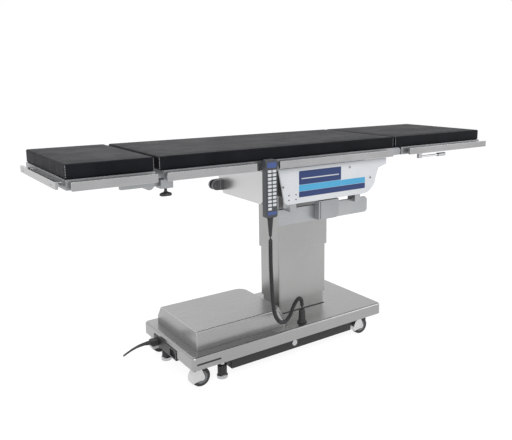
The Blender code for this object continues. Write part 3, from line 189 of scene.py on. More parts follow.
def finish_of(name, dark, light, roughness, metallic=0.0, stretch=(1, 1, 1), fineness=400.0, cloud_size=6.0,
              bump=0.1, depth=0.0004, cloud_share=0.5, coat=0.0, waviness=0.0, wave_depth=0.002):
    """Principled finish whose colour and gloss run between two values over grain and clouding."""
    made = bpy.data.materials.new(name)
    made.use_nodes = True
    links = made.node_tree.links
    shader = made.node_tree.nodes["Principled BSDF"]
    shader.inputs["Metallic"].default_value = metallic
    shader.inputs["Coat Weight"].default_value = coat
    shader.inputs["Coat Roughness"].default_value = 0.25
    grain = made.node_tree.nodes.new("ShaderNodeGroup")
    grain.node_tree = surface_grain
    grain.inputs["Stretch"].default_value = stretch
    grain.inputs["Fineness"].default_value = fineness
    grain.inputs["Cloud Size"].default_value = cloud_size
    share = made.node_tree.nodes.new("ShaderNodeMix")
    share.inputs["Factor"].default_value = cloud_share
    links.new(grain.outputs["Tone"], share.inputs["A"])
    links.new(grain.outputs["Cloud"], share.inputs["B"])
    colour = made.node_tree.nodes.new("ShaderNodeMix")
    colour.data_type = "RGBA"
    colour.inputs["A"].default_value = (*dark, 1.0)
    colour.inputs["B"].default_value = (*light, 1.0)
    links.new(share.outputs["Result"], colour.inputs["Factor"])
    links.new(colour.outputs["Result"], shader.inputs["Base Color"])
    gloss = made.node_tree.nodes.new("ShaderNodeMapRange")
    gloss.inputs["To Min"].default_value = roughness[0]
    gloss.inputs["To Max"].default_value = roughness[1]
    links.new(share.outputs["Result"], gloss.inputs["Value"])
    links.new(gloss.outputs[0], shader.inputs["Roughness"])
    relief = made.node_tree.nodes.new("ShaderNodeBump")
    relief.inputs["Strength"].default_value = bump
    relief.inputs["Distance"].default_value = depth
    links.new(grain.outputs["Height"], relief.inputs["Height"])
    if waviness:
        wave = made.node_tree.nodes.new("ShaderNodeBump")
        wave.inputs["Strength"].default_value = waviness
        wave.inputs["Distance"].default_value = wave_depth
        links.new(grain.outputs["Cloud"], wave.inputs["Height"])
        links.new(wave.outputs["Normal"], relief.inputs["Normal"])
    links.new(relief.outputs["Normal"], shader.inputs["Normal"])
    return made


vinyl = finish_of("black_vinyl", (0.0050, 0.0056, 0.0070), (0.0140, 0.0150, 0.0175), (0.44, 0.62),
                  fineness=420, cloud_size=9, bump=0.55, depth=0.0008, cloud_share=0.55,
                  waviness=0.5, wave_depth=0.0035)
vinyl.node_tree.nodes["Principled BSDF"].inputs["Specular IOR Level"].default_value = 0.075
seam_thread = finish_of("seam_thread", (0.34, 0.34, 0.34), (0.52, 0.52, 0.52), (0.6, 0.8), fineness=900)


def keep(piece, body, slot, *replaced):
    """Rides a finished piece on its body and hides the nodes that it stands for; slot is not used."""
    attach(piece, body)
    if replaced:
        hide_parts(*replaced)
    return piece


def even_steps(low, high, edge, spacing):
    """Grid lines from low to high: close together over the rounded edges and even between them."""
    count = max(2, round((high - low - 2 * edge) / spacing))
    inner = [low + edge + (high - low - 2 * edge) * i / count for i in range(count + 1)]
    edge_shares = (0.0, 0.35, 0.7)
    return [low + edge * s for s in edge_shares] + inner + [high - edge * s for s in reversed(edge_shares)]


def mesh_of(name, shape):
    """Mesh of a finished shape, which is then freed."""
    mesh = bpy.data.meshes.new(name)
    shape.to_mesh(mesh)
    shape.free()
    return mesh


def foam_block(name, low, high, edge, spacing):
    """Closed box of even quads with rounded edges."""
    lines = [even_steps(low[k], high[k], edge, spacing) for k in range(3)]
    shape = bmesh.new()
    corner = {}

    def at(i, j, k):
        if (i, j, k) not in corner:
            spot = Vector((lines[0][i], lines[1][j], lines[2][k]))
            core = Vector([min(max(spot[n], low[n] + edge), high[n] - edge) for n in range(3)])
            corner[i, j, k] = shape.verts.new(core + (spot - core).normalized() * edge)
        return corner[i, j, k]

    last = [len(line) - 1 for line in lines]
    for flat in range(3):
        u, v = [n for n in range(3) if n != flat]
        for end in (0, last[flat]):
            for i in range(last[u]):
                for j in range(last[v]):
                    ring = []
                    for di, dj in ((0, 0), (1, 0), (1, 1), (0, 1)):
                        place = [0, 0, 0]
                        place[flat], place[u], place[v] = end, i + di, j + dj
                        ring.append(at(*place))
                    shape.faces.new(ring)
    bmesh.ops.recalc_face_normals(shape, faces=shape.faces)
    return added(name, mesh_of(name, shape))


pad_spans = {"head_pad_cover": ("head_pad", "head_pad_flex"),
             "body_pad_cover": ("back_pad", "body_pad_flex", "seat_pad"),
             "leg_pad_cover": ("leg_pad",)}
pad_edge = 0.0055       # round of the pads' edges
pad_start = 0.0012      # the cover starts this far inside the pad's own size
pad_swell = 0.0030      # the foam pushes it out by no more than this
pad_spacing = 0.0125    # width of the mesh's squares
sewn_height = 0.002     # the cover is held this far up from the board
swell_frames = 20
pads, pad_box = {}, {}
for pad_name, spans in pad_spans.items():
    corners = [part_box(node) for node in spans]
    low = [min(c[0][k] for c in corners) for k in range(3)]
    high = [max(c[1][k] for c in corners) for k in range(3)]
    pad_box[pad_name] = (low, high)
    shrunk_low = [low[0] + pad_start, low[1] + pad_start, low[2]]
    shrunk_high = [high[0] - pad_start, high[1] - pad_start, high[2] - pad_start]
    pads[pad_name] = foam_block(pad_name, shrunk_low, shrunk_high, pad_edge, pad_spacing)
    sewn = pads[pad_name].vertex_groups.new(name="sewn")
    for point in pads[pad_name].data.vertices:
        faces_on = sum(min(point.co[k] - shrunk_low[k], shrunk_high[k] - point.co[k]) < pad_edge * 1.01
                       for k in range(3))
        if faces_on > 1 or point.co.z < low[2] + sewn_height:
            sewn.add([point.index], 1.0, "REPLACE")
    cloth = pads[pad_name].modifiers.new("foam_pressure", "CLOTH")
    cloth.settings.use_pressure = True
    cloth.settings.uniform_pressure_force = 4.0
    cloth.settings.effector_weights.gravity = 0.0
    cloth.settings.vertex_group_mass = "sewn"
    cloth.point_cache.frame_start = 1
    cloth.point_cache.frame_end = swell_frames
for step in range(1, swell_frames + 1):
    bpy.context.scene.frame_set(step)
for pad_name, pad in pads.items():
    blown = pad.evaluated_get(bpy.context.evaluated_depsgraph_get()).to_mesh()
    swollen = [point.co.copy() for point in blown.vertices]
    for point, spot in zip(pad.data.vertices, swollen):
        move = spot - point.co
        if move.length > pad_swell:
            move.length = pad_swell
        point.co += move
    pad.modifiers.clear()
    smoother = pad.modifiers.new("round_over", "SUBSURF")
    smoother.levels = 1
    smoother.render_levels = 1
    pad.data.shade_smooth()
    pad.data.materials.append(vinyl)
    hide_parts(*pad_spans[pad_name])
bpy.context.scene.frame_set(1)


def tube(name, line, diameter, finish, resolution=3, closed=False):
    """Round tube along a line of points: a ring where it is closed, and else capped at both ends."""
    curve = bpy.data.curves.new(name, "CURVE")
    curve.dimensions = "3D"
    curve.bevel_depth = diameter / 2
    curve.bevel_resolution = resolution
    curve.use_fill_caps = not closed
    spline = curve.splines.new("POLY")
    spline.points.add(len(line) - 1)
    spline.use_cyclic_u = closed
    for point, spot in zip(spline.points, line):
        point.co = (*spot, 1.0)
    drawn = bpy.data.objects.new(name, curve)
    mesh = bpy.data.meshes.new_from_object(drawn)
    bpy.data.objects.remove(drawn)
    mesh.name = name
    mesh.materials.append(finish)
    mesh.shade_smooth()
    return added(name, mesh)


bead_diameter, bead_spacing = 0.0016, 0.012
stitch_count, stitch_first, stitch_pitch, stitch_radius = 8, 0.007, 0.0050, 0.0013


def seam(name, pad, height):
    """Sewn bead round a pad's side at one height, as a thin tube that follows the rounded corners."""
    ring = []
    low, high = pad_box[pad]
    inset = pad_start + pad_edge
    for cx, cy, start in ((high[0] - inset, low[1] + inset, -90), (high[0] - inset, high[1] - inset, 0),
                          (low[0] + inset, high[1] - inset, 90), (low[0] + inset, low[1] + inset, 180)):
        for i in range(5):
            angle = radians(start + 22.5 * i)
            ring.append(Vector((cx + pad_edge * cos(angle), cy + pad_edge * sin(angle), height)))
    ring.append(ring[0])
    path = []
    for p, q in zip(ring, ring[1:]):
        count = max(1, round((q - p).length / bead_spacing))
        path += [p.lerp(q, i / count) for i in range(count)]
    return tube(name, path, bead_diameter, vinyl, resolution=1, closed=True)


def stitches(name, pad):
    """Pale thread crossings up the four upright corner seams."""
    low, high = pad_box[pad]
    inset = pad_start + pad_edge * (1 - cos(pi / 4)) - 0.0002
    shape = bmesh.new()
    for x in (low[0] + inset, high[0] - inset):
        for y in (low[1] + inset, high[1] - inset):
            for i in range(stitch_count):
                place = Matrix.Translation((x, y, low[2] + stitch_first + stitch_pitch * i))
                bmesh.ops.create_icosphere(shape, subdivisions=2, radius=stitch_radius, matrix=place)
    mesh = mesh_of(name, shape)
    mesh.materials.append(seam_thread)
    mesh.shade_smooth()
    return added(name, mesh)


top_seam_drop, foot_seam_rise = 0.0052, 0.0060
trim = {}
for pad_name in pads:
    low, high = pad_box[pad_name]
    trim[pad_name] = [seam(pad_name + "_top_seam", pad_name, high[2] - pad_start - top_seam_drop),
                      seam(pad_name + "_foot_seam", pad_name, low[2] + foot_seam_rise),
                      stitches(pad_name + "_stitches", pad_name)]
for item in trim["body_pad_cover"] + [pads["body_pad_cover"]]:
    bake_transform(item)
for item in trim["head_pad_cover"] + [pads["head_pad_cover"]]:
    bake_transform(item)
for item in trim["leg_pad_cover"] + [pads["leg_pad_cover"]]:
    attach(item, "leg")


# Metalwork under the pads: welded alloy frames with polished accessory rails on studs along both sides
# and across the head end. The rails take the clamps of accessories, so their faces are left plain.
merge_gap = 0.00002
short_edge = 0.03           # facets are joined only across edges longer than this
flat_angle = radians(1.0)
crease_angle = radians(48)
covered_spare, smallest_fold = 1.02, 0.000001


def folded(shape):
    """Whether a face has turned over itself, which shows where its triangles cover more than it does."""
    covered = {}
    for corners in shape.calc_loop_triangles():
        a, b, c = [corner.vert.co for corner in corners]
        face = corners[0].face
        covered[face] = covered.get(face, 0.0) + (b - a).cross(c - a).length / 2
    return any(area > face.calc_area() * covered_spare + smallest_fold for face, area in covered.items())


def eased(node, finish, slot, edge, angle=25.0, edge_highlight_finish=None):
    """The CAD piece with doubles merged, flat facets joined and sharp edges eased; an edge highlight finish,
    where given, is painted on the eased edges as a highlight.
    Thin rims keep their short cross edges, and an edge that folds a face is tried again smaller."""
    for share in (1.0, 0.7, 0.45, 0.2):
        shape = bmesh.new()
        shape.from_mesh(nodes[node].data)
        bmesh.ops.remove_doubles(shape, verts=shape.verts, dist=merge_gap)
        joined = [e for e in shape.edges if e.calc_length() > short_edge]
        bmesh.ops.dissolve_limit(shape, angle_limit=flat_angle, verts=shape.verts, edges=joined)
        sharp = [e for e in shape.edges if len(e.link_faces) == 2 and e.calc_face_angle() > radians(angle)]
        # The bevel faces take slot 1, which holds the brighter finish painted on as an edge highlight.
        bmesh.ops.bevel(shape, geom=sharp, offset=edge * share, segments=2, profile=0.5, affect="EDGES",
                        clamp_overlap=True, material=1 if edge_highlight_finish else -1)
        if not folded(shape):
            break
    bmesh.ops.recalc_face_normals(shape, faces=shape.faces)
    mesh = mesh_of(node + "_eased", shape)
    mesh.shade_smooth()
    mesh.set_sharp_from_angle(angle=crease_angle)
    draft = added("draft", mesh)
    weigh = draft.modifiers.new("weigh", "WEIGHTED_NORMAL")
    weigh.keep_sharp = True
    done = bpy.data.meshes.new_from_object(draft.evaluated_get(bpy.context.evaluated_depsgraph_get()))
    bpy.data.objects.remove(draft)
    slots = [polygon.material_index if edge_highlight_finish else 0 for polygon in done.polygons]
    done.materials.clear()
    done.materials.append(finish)
    if edge_highlight_finish:
        done.materials.append(edge_highlight_finish)
    done.polygons.foreach_set("material_index", slots)
    return keep(added(node + "_finished", done), node_body[node], slot, node)


node_body = {node: body for body, held in frame["record"]["behaviour"]["bodies"].items() for node in held}
alloy = finish_of("cast_alloy", (0.30, 0.31, 0.32), (0.42, 0.43, 0.44), (0.34, 0.50), metallic=0.9,
                  fineness=500, bump=0.10)
polished = finish_of("polished_steel", (0.42, 0.43, 0.44), (0.54, 0.55, 0.56), (0.14, 0.24), metallic=1.0,
                     stretch=(0.03, 1, 1), fineness=700, bump=0.03)
black_steel = finish_of("black_steel", (0.010, 0.010, 0.011), (0.026, 0.026, 0.028), (0.42, 0.60),
                        fineness=500, bump=0.15)
for node in ("head_frame", "back_frame", "seat_frame", "leg_frame"):
    eased(node, alloy, "cast_alloy", edge=0.0010)
rail_steel = finish_of("rail_steel", (0.34, 0.34, 0.345), (0.44, 0.44, 0.445), (0.16, 0.28), metallic=1.0,
                       stretch=(0.02, 1, 1), fineness=900, bump=0.04)
# Pale steel for the rails' eased edges: a painted highlight along every edge.
edge_highlight_steel = finish_of("edge_highlight_steel", (0.66, 0.66, 0.66), (0.78, 0.78, 0.78), (0.20, 0.30), metallic=0.8,
                       stretch=(0.02, 1, 1), fineness=900, bump=0.02)
for node in [name for name in nodes if "_rail_" in name]:
    eased(node, rail_steel, "polished_steel", edge=0.0016, edge_highlight_finish=edge_highlight_steel)


def screw_group():
    """Puts a socket-head screw on every point of a mesh; its socket is a black hexagon, painted shade that
    stands for the recess.
    """
    made = bpy.data.node_groups.new("screw_heads", "GeometryNodeTree")
    for name, kind in (("Points", "NodeSocketGeometry"), ("Radius", "NodeSocketFloat"),
                       ("Height", "NodeSocketFloat"), ("Turn", "NodeSocketRotation"),
                       ("Head", "NodeSocketMaterial"), ("Socket", "NodeSocketMaterial")):
        made.interface.new_socket(name, in_out="INPUT", socket_type=kind)
    made.interface.new_socket("Screws", in_out="OUTPUT", socket_type="NodeSocketGeometry")
    source = made.nodes.new("NodeGroupInput")
    result = made.nodes.new("NodeGroupOutput")

    def scaled(output, factor):
        node = made.nodes.new("ShaderNodeMath")
        node.operation = "MULTIPLY"
        node.inputs[1].default_value = factor
        made.links.new(output, node.inputs[0])
        return node.outputs[0]

    joined = made.nodes.new("GeometryNodeJoinGeometry")
    # The six-sided black drum stands in for the socket's recess: painted shade.
    drums = ((24, 1.0, 1.0, "Head"), (24, 0.86, 1.25, "Head"), (6, 0.50, 1.30, "Socket"))
    for sides, width, height, finish in drums:
        drum = made.nodes.new("GeometryNodeMeshCylinder")
        drum.inputs["Vertices"].default_value = sides
        made.links.new(scaled(source.outputs["Radius"], width), drum.inputs["Radius"])
        made.links.new(scaled(source.outputs["Height"], height * 2), drum.inputs["Depth"])
        painted = made.nodes.new("GeometryNodeSetMaterial")
        made.links.new(drum.outputs["Mesh"], painted.inputs["Geometry"])
        made.links.new(source.outputs[finish], painted.inputs["Material"])
        made.links.new(painted.outputs[0], joined.inputs[0])
    spread = made.nodes.new("GeometryNodeInstanceOnPoints")
    made.links.new(source.outputs["Points"], spread.inputs["Points"])
    made.links.new(joined.outputs[0], spread.inputs["Instance"])
    made.links.new(source.outputs["Turn"], spread.inputs["Rotation"])
    real = made.nodes.new("GeometryNodeRealizeInstances")
    made.links.new(spread.outputs[0], real.inputs[0])
    made.links.new(real.outputs[0], result.inputs[0])
    return made


screw_heads = screw_group()


def screws(name, spots, turn, radius, height, body, head=None):
    """Row of socket-head screws, modelled with Geometry Nodes and kept as a plain mesh."""
    points = bpy.data.meshes.new(name + "_points")
    points.from_pydata([tuple(spot) for spot in spots], [], [])
    draft = added(name + "_draft", points)
    fill = draft.modifiers.new("screws", "NODES")
    fill.node_group = screw_heads
    inputs = [item for item in screw_heads.interface.items_tree if item.in_out == "INPUT"]
    sockets = {item.name: item.identifier for item in inputs}
    fill[sockets["Radius"]] = radius
    fill[sockets["Height"]] = height
    fill[sockets["Turn"]] = turn
    fill[sockets["Head"]] = head or polished
    fill[sockets["Socket"]] = black_steel
    mesh = bpy.data.meshes.new_from_object(draft.evaluated_get(bpy.context.evaluated_depsgraph_get()))
    bpy.data.objects.remove(draft)
    return keep(added(name, mesh), body, "polished_steel")


end_low, end_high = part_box("head_rail_end")
towards_head = (0.0, pi / 2, 0.0)
screws("head_rail_end_screws", [(end_low.x + 0.0004, y, (end_low.z + end_high.z) / 2) for y in (-0.18, 0.18)],
       towards_head, radius=0.0050, height=0.0012, body="head")


# Saddle: a black steel cross frame between white enamelled side plates, with a stainless tray over its
# head end. The near plate has an unlettered blue panel and socket screws; a bar hangs under it.
enamel = finish_of("white_enamel", (0.66, 0.67, 0.69), (0.76, 0.77, 0.78), (0.26, 0.36), fineness=300,
                   bump=0.04, coat=0.25)
stainless = finish_of("brushed_stainless", (0.32, 0.32, 0.32), (0.39, 0.39, 0.385), (0.24, 0.33),
                      metallic=1.0, stretch=(0.02, 1, 1), fineness=650, cloud_size=3.0, bump=0.045,
                      depth=0.0003, cloud_share=0.4, waviness=0.25, wave_depth=0.004)
upright_steel = finish_of("upright_stainless", (0.34, 0.34, 0.335), (0.42, 0.42, 0.415), (0.26, 0.36),
                          metallic=1.0, stretch=(1, 1, 0.015), fineness=1500, cloud_size=3.0, bump=0.04,
                          depth=0.0002, cloud_share=0.5)
eased("saddle_frame", black_steel, "black_steel", edge=0.0015)
drive_grey = finish_of("drive_grey", (0.10, 0.10, 0.105), (0.20, 0.20, 0.21), (0.30, 0.45), metallic=0.8,
                       fineness=400, bump=0.10)
# The drive's eased edges take the lighter alloy: a painted highlight along the edges.
eased("slide_drive", drive_grey, "black_steel", edge=0.0015, edge_highlight_finish=alloy)
eased("tilt_yoke", polished, "polished_steel", edge=0.0012)
bright_steel = finish_of("bright_stainless", (0.56, 0.56, 0.555), (0.68, 0.68, 0.675), (0.24, 0.36),
                         metallic=0.85, stretch=(0.02, 1, 1), fineness=650, cloud_size=3.0, bump=0.05,
                         depth=0.0003, cloud_share=0.3)
eased("saddle_cowl", bright_steel, "brushed_stainless", edge=0.0010)
for node in ("side_plate_near", "side_plate_far"):
    eased(node, enamel, "white_enamel", edge=0.0009)
beam_steel = finish_of("beam_steel", (0.36, 0.37, 0.38), (0.46, 0.47, 0.48), (0.34, 0.46), metallic=0.95,
                       stretch=(0.03, 1, 1), fineness=700, bump=0.05)
eased("hanging_beam", beam_steel, "cast_alloy", edge=0.0014)
eased("clamp_block", alloy, "cast_alloy", edge=0.0016)
towards_near = (pi / 2, 0.0, 0.0)
head_sunk = 0.0002          # the middle of a screw head is this deep in its plate
clamp_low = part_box("clamp_block")[0]
# Dark dots of the clamp block's perforated strip: black discs as painted shade for the holes.
hole_inset, hole_pitch = 0.008, 0.0080
hole_shade_spots = [(clamp_low.x + hole_inset, clamp_low.y + head_sunk, clamp_low.z + hole_inset + hole_pitch * i)
         for i in range(9)]
screws("clamp_edge_hole_shade", hole_shade_spots, towards_near, radius=0.0026, height=0.0006, body="saddle", head=black_steel)
plate_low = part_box("side_plate_near")[0]


def tile(name, x, z, corner, front, thick, finish, body, slot):
    """Thin upright tile with round corners that faces the near side."""
    outline = []
    for cx, cz, start in ((x[1] - corner, z[0] + corner, -90), (x[1] - corner, z[1] - corner, 0),
                          (x[0] + corner, z[1] - corner, 90), (x[0] + corner, z[0] + corner, 180)):
        for i in range(7):
            angle = radians(start + 15 * i)
            outline.append((cx + corner * cos(angle), cz + corner * sin(angle)))
    count = len(outline)
    spots = [(px, front, pz) for px, pz in outline] + [(px, front + thick, pz) for px, pz in outline]
    faces = [tuple(range(count)), tuple(reversed(range(count, 2 * count)))]
    faces += [(i, i + count, (i + 1) % count + count, (i + 1) % count) for i in range(count)]
    mesh = bpy.data.meshes.new(name)
    mesh.from_pydata(spots, [], faces)
    shape = bmesh.new()
    shape.from_mesh(mesh)
    bmesh.ops.recalc_face_normals(shape, faces=shape.faces)
    shape.to_mesh(mesh)
    shape.free()
    mesh.materials.append(finish)
    return keep(added(name, mesh), body, slot)


navy = finish_of("panel_navy", (0.010, 0.030, 0.130), (0.014, 0.040, 0.160), (0.28, 0.36), fineness=200,
                 bump=0.0)
cyan = finish_of("panel_cyan", (0.06, 0.36, 0.62), (0.08, 0.42, 0.68), (0.28, 0.36), fineness=200, bump=0.0)
pale = finish_of("panel_pale", (0.60, 0.62, 0.64), (0.68, 0.70, 0.72), (0.30, 0.40), fineness=200, bump=0.0)
tile_thick = 0.0006
tile_stands = 0.0004        # a tile's front stands this far out of its plate
panel_front = plate_low.y - tile_stands
panel_tiles = (("panel_upper", (-0.118, 0.098), (0.742, 0.797), 0.004, panel_front, navy),
               ("panel_middle", (-0.118, 0.098), (0.716, 0.741), 0.002, panel_front, cyan),
               ("panel_lower", (-0.118, 0.232), (0.692, 0.715), 0.002, panel_front, navy),
               ("panel_end", (0.099, 0.232), (0.716, 0.740), 0.003, panel_front, cyan),
               ("panel_stripe", (-0.106, 0.086), (0.764, 0.768), 0.0015, panel_front - 0.0003, pale))
for name, x, z, corner, front, finish in panel_tiles:
    tile(name, x, z, corner, front, tile_thick, finish, "saddle", "dark_plastic")
near_holes = ((-0.195, 0.7407), (0.145, 0.790), (0.262, 0.735))
small_holes = [(x, z) for x in (-0.167, -0.133) for z in (0.705, 0.686)]
far_holes = ((-0.195, 0.7407), (0.05, 0.745), (0.262, 0.735))
screw_y = plate_low.y + head_sunk
screws("plate_screws", [(x, screw_y, z) for x, z in near_holes], towards_near,
       radius=0.0062, height=0.0014, body="saddle")
# Black discs in the four small holes of the near plate: painted shade for the holes.
screws("plate_small_hole_shade", [(x, screw_y, z) for x, z in small_holes], towards_near,
       radius=0.0028, height=0.0008, body="saddle", head=black_steel)
screws("plate_screws_far", [(x, -screw_y, z) for x, z in far_holes], towards_near,
       radius=0.0062, height=0.0014, body="saddle")


# Lifting column: two telescoping covers of satin stainless sheet, brushed upright, over the foot stage
# and the chromed ram. The cast head carries the tilt yoke.
# The covers' eased edges take the bright stainless: a painted highlight along the edges.
for node in ("column_foot", "column_lower_cover", "column_upper_cover"):
    eased(node, upright_steel, "brushed_stainless", edge=0.0014, angle=40, edge_highlight_finish=bright_steel)
eased("lift_head", alloy, "cast_alloy", edge=0.0012)
for node in ("lift_cylinder", "lift_rod"):
    eased(node, polished, "polished_steel", edge=0.0010)


# Base: a folded stainless cover over the black ribbed casting, with the raised pump housing towards the
# head end. It stands on four rubber-tyred casters under hoods, and on four feet that press down.
# Their eased edges take the bright stainless: a painted highlight along the edges.
eased("base_cover", stainless, "brushed_stainless", edge=0.0013, edge_highlight_finish=bright_steel)
eased("power_housing", stainless, "brushed_stainless", edge=0.0016, edge_highlight_finish=bright_steel)
eased("base_chassis", black_steel, "black_steel", edge=0.0012)
eased("pump_unit", alloy, "cast_alloy", edge=0.0012)
skirt_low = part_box("base_cover")[0]
# The vent slot is a thin black tile on the skirt's face: painted shade for the opening.
tile("vent_slot_shade", x=(-0.5700, -0.4680), z=(0.1055, 0.1125), corner=0.0030, front=skirt_low.y - tile_stands,
     thick=0.0007, finish=black_steel, body="base", slot="black_steel")


def turned_piece(name, profile, axis, centre, finish, steps=48):
    """Round piece turned from a profile of (radius, place along the axis); finish may be one per band."""
    finishes = finish if isinstance(finish, list) else [finish] * (len(profile) - 1)
    used = list(dict.fromkeys(finishes))
    spots, faces, slots = [], [], []
    for radius, along in profile:
        for i in range(steps):
            angle = 2 * pi * i / steps
            u, v = radius * cos(angle), radius * sin(angle)
            spot = {"x": (along, u, v), "y": (u, along, v), "z": (u, v, along)}[axis]
            spots.append(Vector(spot) + Vector(centre))
    for band in range(len(profile) - 1):
        for i in range(steps):
            j = (i + 1) % steps
            faces.append((band * steps + i, band * steps + j, (band + 1) * steps + j, (band + 1) * steps + i))
            slots.append(used.index(finishes[band]))
    mesh = bpy.data.meshes.new(name)
    mesh.from_pydata(spots, [], faces)
    for item in used:
        mesh.materials.append(item)
    mesh.polygons.foreach_set("material_index", slots)
    shape = bmesh.new()
    shape.from_mesh(mesh)
    bmesh.ops.remove_doubles(shape, verts=shape.verts, dist=0.000005)
    bmesh.ops.recalc_face_normals(shape, faces=shape.faces)
    shape.to_mesh(mesh)
    shape.free()
    mesh.shade_smooth()
    mesh.set_sharp_from_angle(angle=radians(35))
    return added(name, mesh)


wheel_grey = finish_of("wheel_grey", (0.16, 0.165, 0.17), (0.22, 0.225, 0.23), (0.40, 0.55), fineness=300,
                       bump=0.06)
black_rubber = finish_of("black_rubber", (0.012, 0.012, 0.013), (0.030, 0.030, 0.032), (0.50, 0.68),
                         fineness=700, bump=0.25)
cable_sheath = finish_of("cable_sheath", (0.010, 0.010, 0.011), (0.024, 0.024, 0.026), (0.35, 0.50),
                         fineness=900, bump=0.12)


def slab(shape, outline, y0, y1):
    """Adds a flat plate with that outline in x and z, between two places across."""
    near = [shape.verts.new((x, y0, z)) for x, z in outline]
    far = [shape.verts.new((x, y1, z)) for x, z in outline]
    shape.faces.new(near)
    shape.faces.new(list(reversed(far)))
    for i in range(len(outline)):
        j = (i + 1) % len(outline)
        shape.faces.new((near[i], far[i], far[j], near[j]))


def round_part(centre, radius, start, stop, steps):
    """Points of an arc in x and z, from one angle to another in degrees."""
    return [(centre.x + radius * cos(radians(start + (stop - start) * i / steps)),
             centre.z + radius * sin(radians(start + (stop - start) * i / steps))) for i in range(steps + 1)]


def caster_hood(corner, axle, half):
    """Pressed steel hood: a band over the tyre between two cheeks that run down to the axle nut."""
    stem_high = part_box("caster_fork_" + corner)[1]
    reach = stem_high.y - axle.y
    band_outer, band_inner, band_inset = 0.0428, 0.0398, 0.0012
    cheek_radius, cheek_foot, cheek_inset = 0.0430, 0.0115, 0.0010
    nut_radius, trail = 0.0060, 0.015
    shape = bmesh.new()
    band = round_part(axle, band_outer, 62, 200, 18) + round_part(axle, band_inner, 200, 62, 18)
    slab(shape, band, axle.y - reach + band_inset, axle.y + reach - band_inset)
    for side in (-1, 1):
        cheek = round_part(axle, cheek_radius, 96, 200, 14) + round_part(axle, cheek_foot, 238, 376, 8)
        low, high = sorted((axle.y + side * (half + cheek_inset), axle.y + side * (reach - cheek_inset)))
        slab(shape, cheek, low, high)
        low, high = sorted((axle.y + side * (reach - band_inset), axle.y + side * reach))
        slab(shape, round_part(axle, nut_radius, 0, 300, 5), low, high)
    for radius, low, high in ((0.0200, stem_high.z - 0.0075, stem_high.z - 0.0030),
                              (0.0150, stem_high.z - 0.0035, stem_high.z)):
        middle = Matrix.Translation((axle.x + trail, axle.y, (low + high) / 2))
        bmesh.ops.create_cone(shape, cap_ends=True, segments=32, radius1=radius, radius2=radius,
                              depth=high - low, matrix=middle)
    bmesh.ops.recalc_face_normals(shape, faces=shape.faces)
    sharp = [e for e in shape.edges if e.calc_face_angle(0) > radians(40)]
    bmesh.ops.bevel(shape, geom=sharp, offset=0.0004, segments=1, profile=0.5, affect="EDGES",
                    clamp_overlap=True)
    mesh = mesh_of("hood_" + corner, shape)
    mesh.materials.append(bright_steel)
    mesh.shade_smooth()
    mesh.set_sharp_from_angle(angle=radians(35))
    return added("hood_" + corner, mesh)


# The tyre's outline on one side: radius, and share of the wheel's half width.
wheel_side = [(0.0001, 0.92), (0.010, 0.92), (0.011, 0.80), (0.0235, 0.80), (0.0245, 0.93), (0.0255, 0.99),
              (0.0345, 0.96), (0.0366, 0.72), (0.0375, 0.30)]
wheel_bands = [wheel_grey] * 4 + [black_rubber] * 9 + [wheel_grey] * 4
for corner in ("head_near", "head_far", "foot_near", "foot_far"):
    low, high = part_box("caster_wheel_" + corner)
    middle = (low + high) / 2
    half = (high.y - low.y) / 2
    profile = [(radius, -half * share) for radius, share in wheel_side]
    profile += [(radius, half * share) for radius, share in reversed(wheel_side)]
    hood = caster_hood(corner, middle, half)
    keep(hood, "fork_" + corner, "polished_steel", "caster_fork_" + corner)
    tyre = turned_piece("wheel_" + corner, profile, "y", middle, wheel_bands)
    keep(tyre, "wheel_" + corner, "black_rubber", "caster_wheel_" + corner)
    low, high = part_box("locking_foot_" + corner)
    middle = Vector(((low.x + high.x) / 2, (low.y + high.y) / 2, 0))
    sole = [(0.0001, 0.0), (0.0190, 0.0), (0.0215, 0.0018), (0.0220, 0.0040), (0.0220, 0.0135),
            (0.0205, 0.0150), (0.0190, 0.0160)]
    ribs = [(0.0178 + 0.0010 * (i % 2), 0.0185 + 0.0045 * i) for i in range(8)]
    shank = [(0.0160, 0.0560), (0.0120, 0.0585), (0.0120, high.z), (0.0001, high.z)]
    foot_bands = [polished] * 6 + [black_rubber] * (len(ribs) + 2) + [polished] * 2
    foot = turned_piece("foot_" + corner, sole + ribs + shank, "z", middle, foot_bands)
    keep(foot, "lock_" + corner, "black_rubber", "locking_foot_" + corner)
boss_profile = [(0.0001, -0.2042), (0.0100, -0.2042), (0.0125, -0.2030), (0.0135, -0.1995)]
boss = turned_piece("sill_boss", boss_profile, "y", (-0.1055, 0, 0.062), polished)
keep(boss, "base", "polished_steel")


# Wing knob of the head clamp, moulded in black plastic with its shank, and the release lever of the leg
# section, which is polished steel. Both turn on the frames that carry them.
moulded = finish_of("black_plastic", (0.014, 0.014, 0.015), (0.028, 0.028, 0.030), (0.34, 0.48),
                    fineness=600, bump=0.14)
knob_low, knob_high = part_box("head_clamp_knob")
knob_mid = (knob_low + knob_high) / 2
knob_shape = bmesh.new()
wing_points = 48
wing = []
for i in range(wing_points):
    angle = 2 * pi * i / wing_points
    spread = 0.50 + 0.50 * abs(cos(angle)) ** 1.5
    wing.append((knob_mid.x + spread * cos(angle) * (knob_high.x - knob_low.x) / 2,
                 knob_mid.y + spread * sin(angle) * (knob_high.y - knob_low.y)))
wing_low = knob_low.z
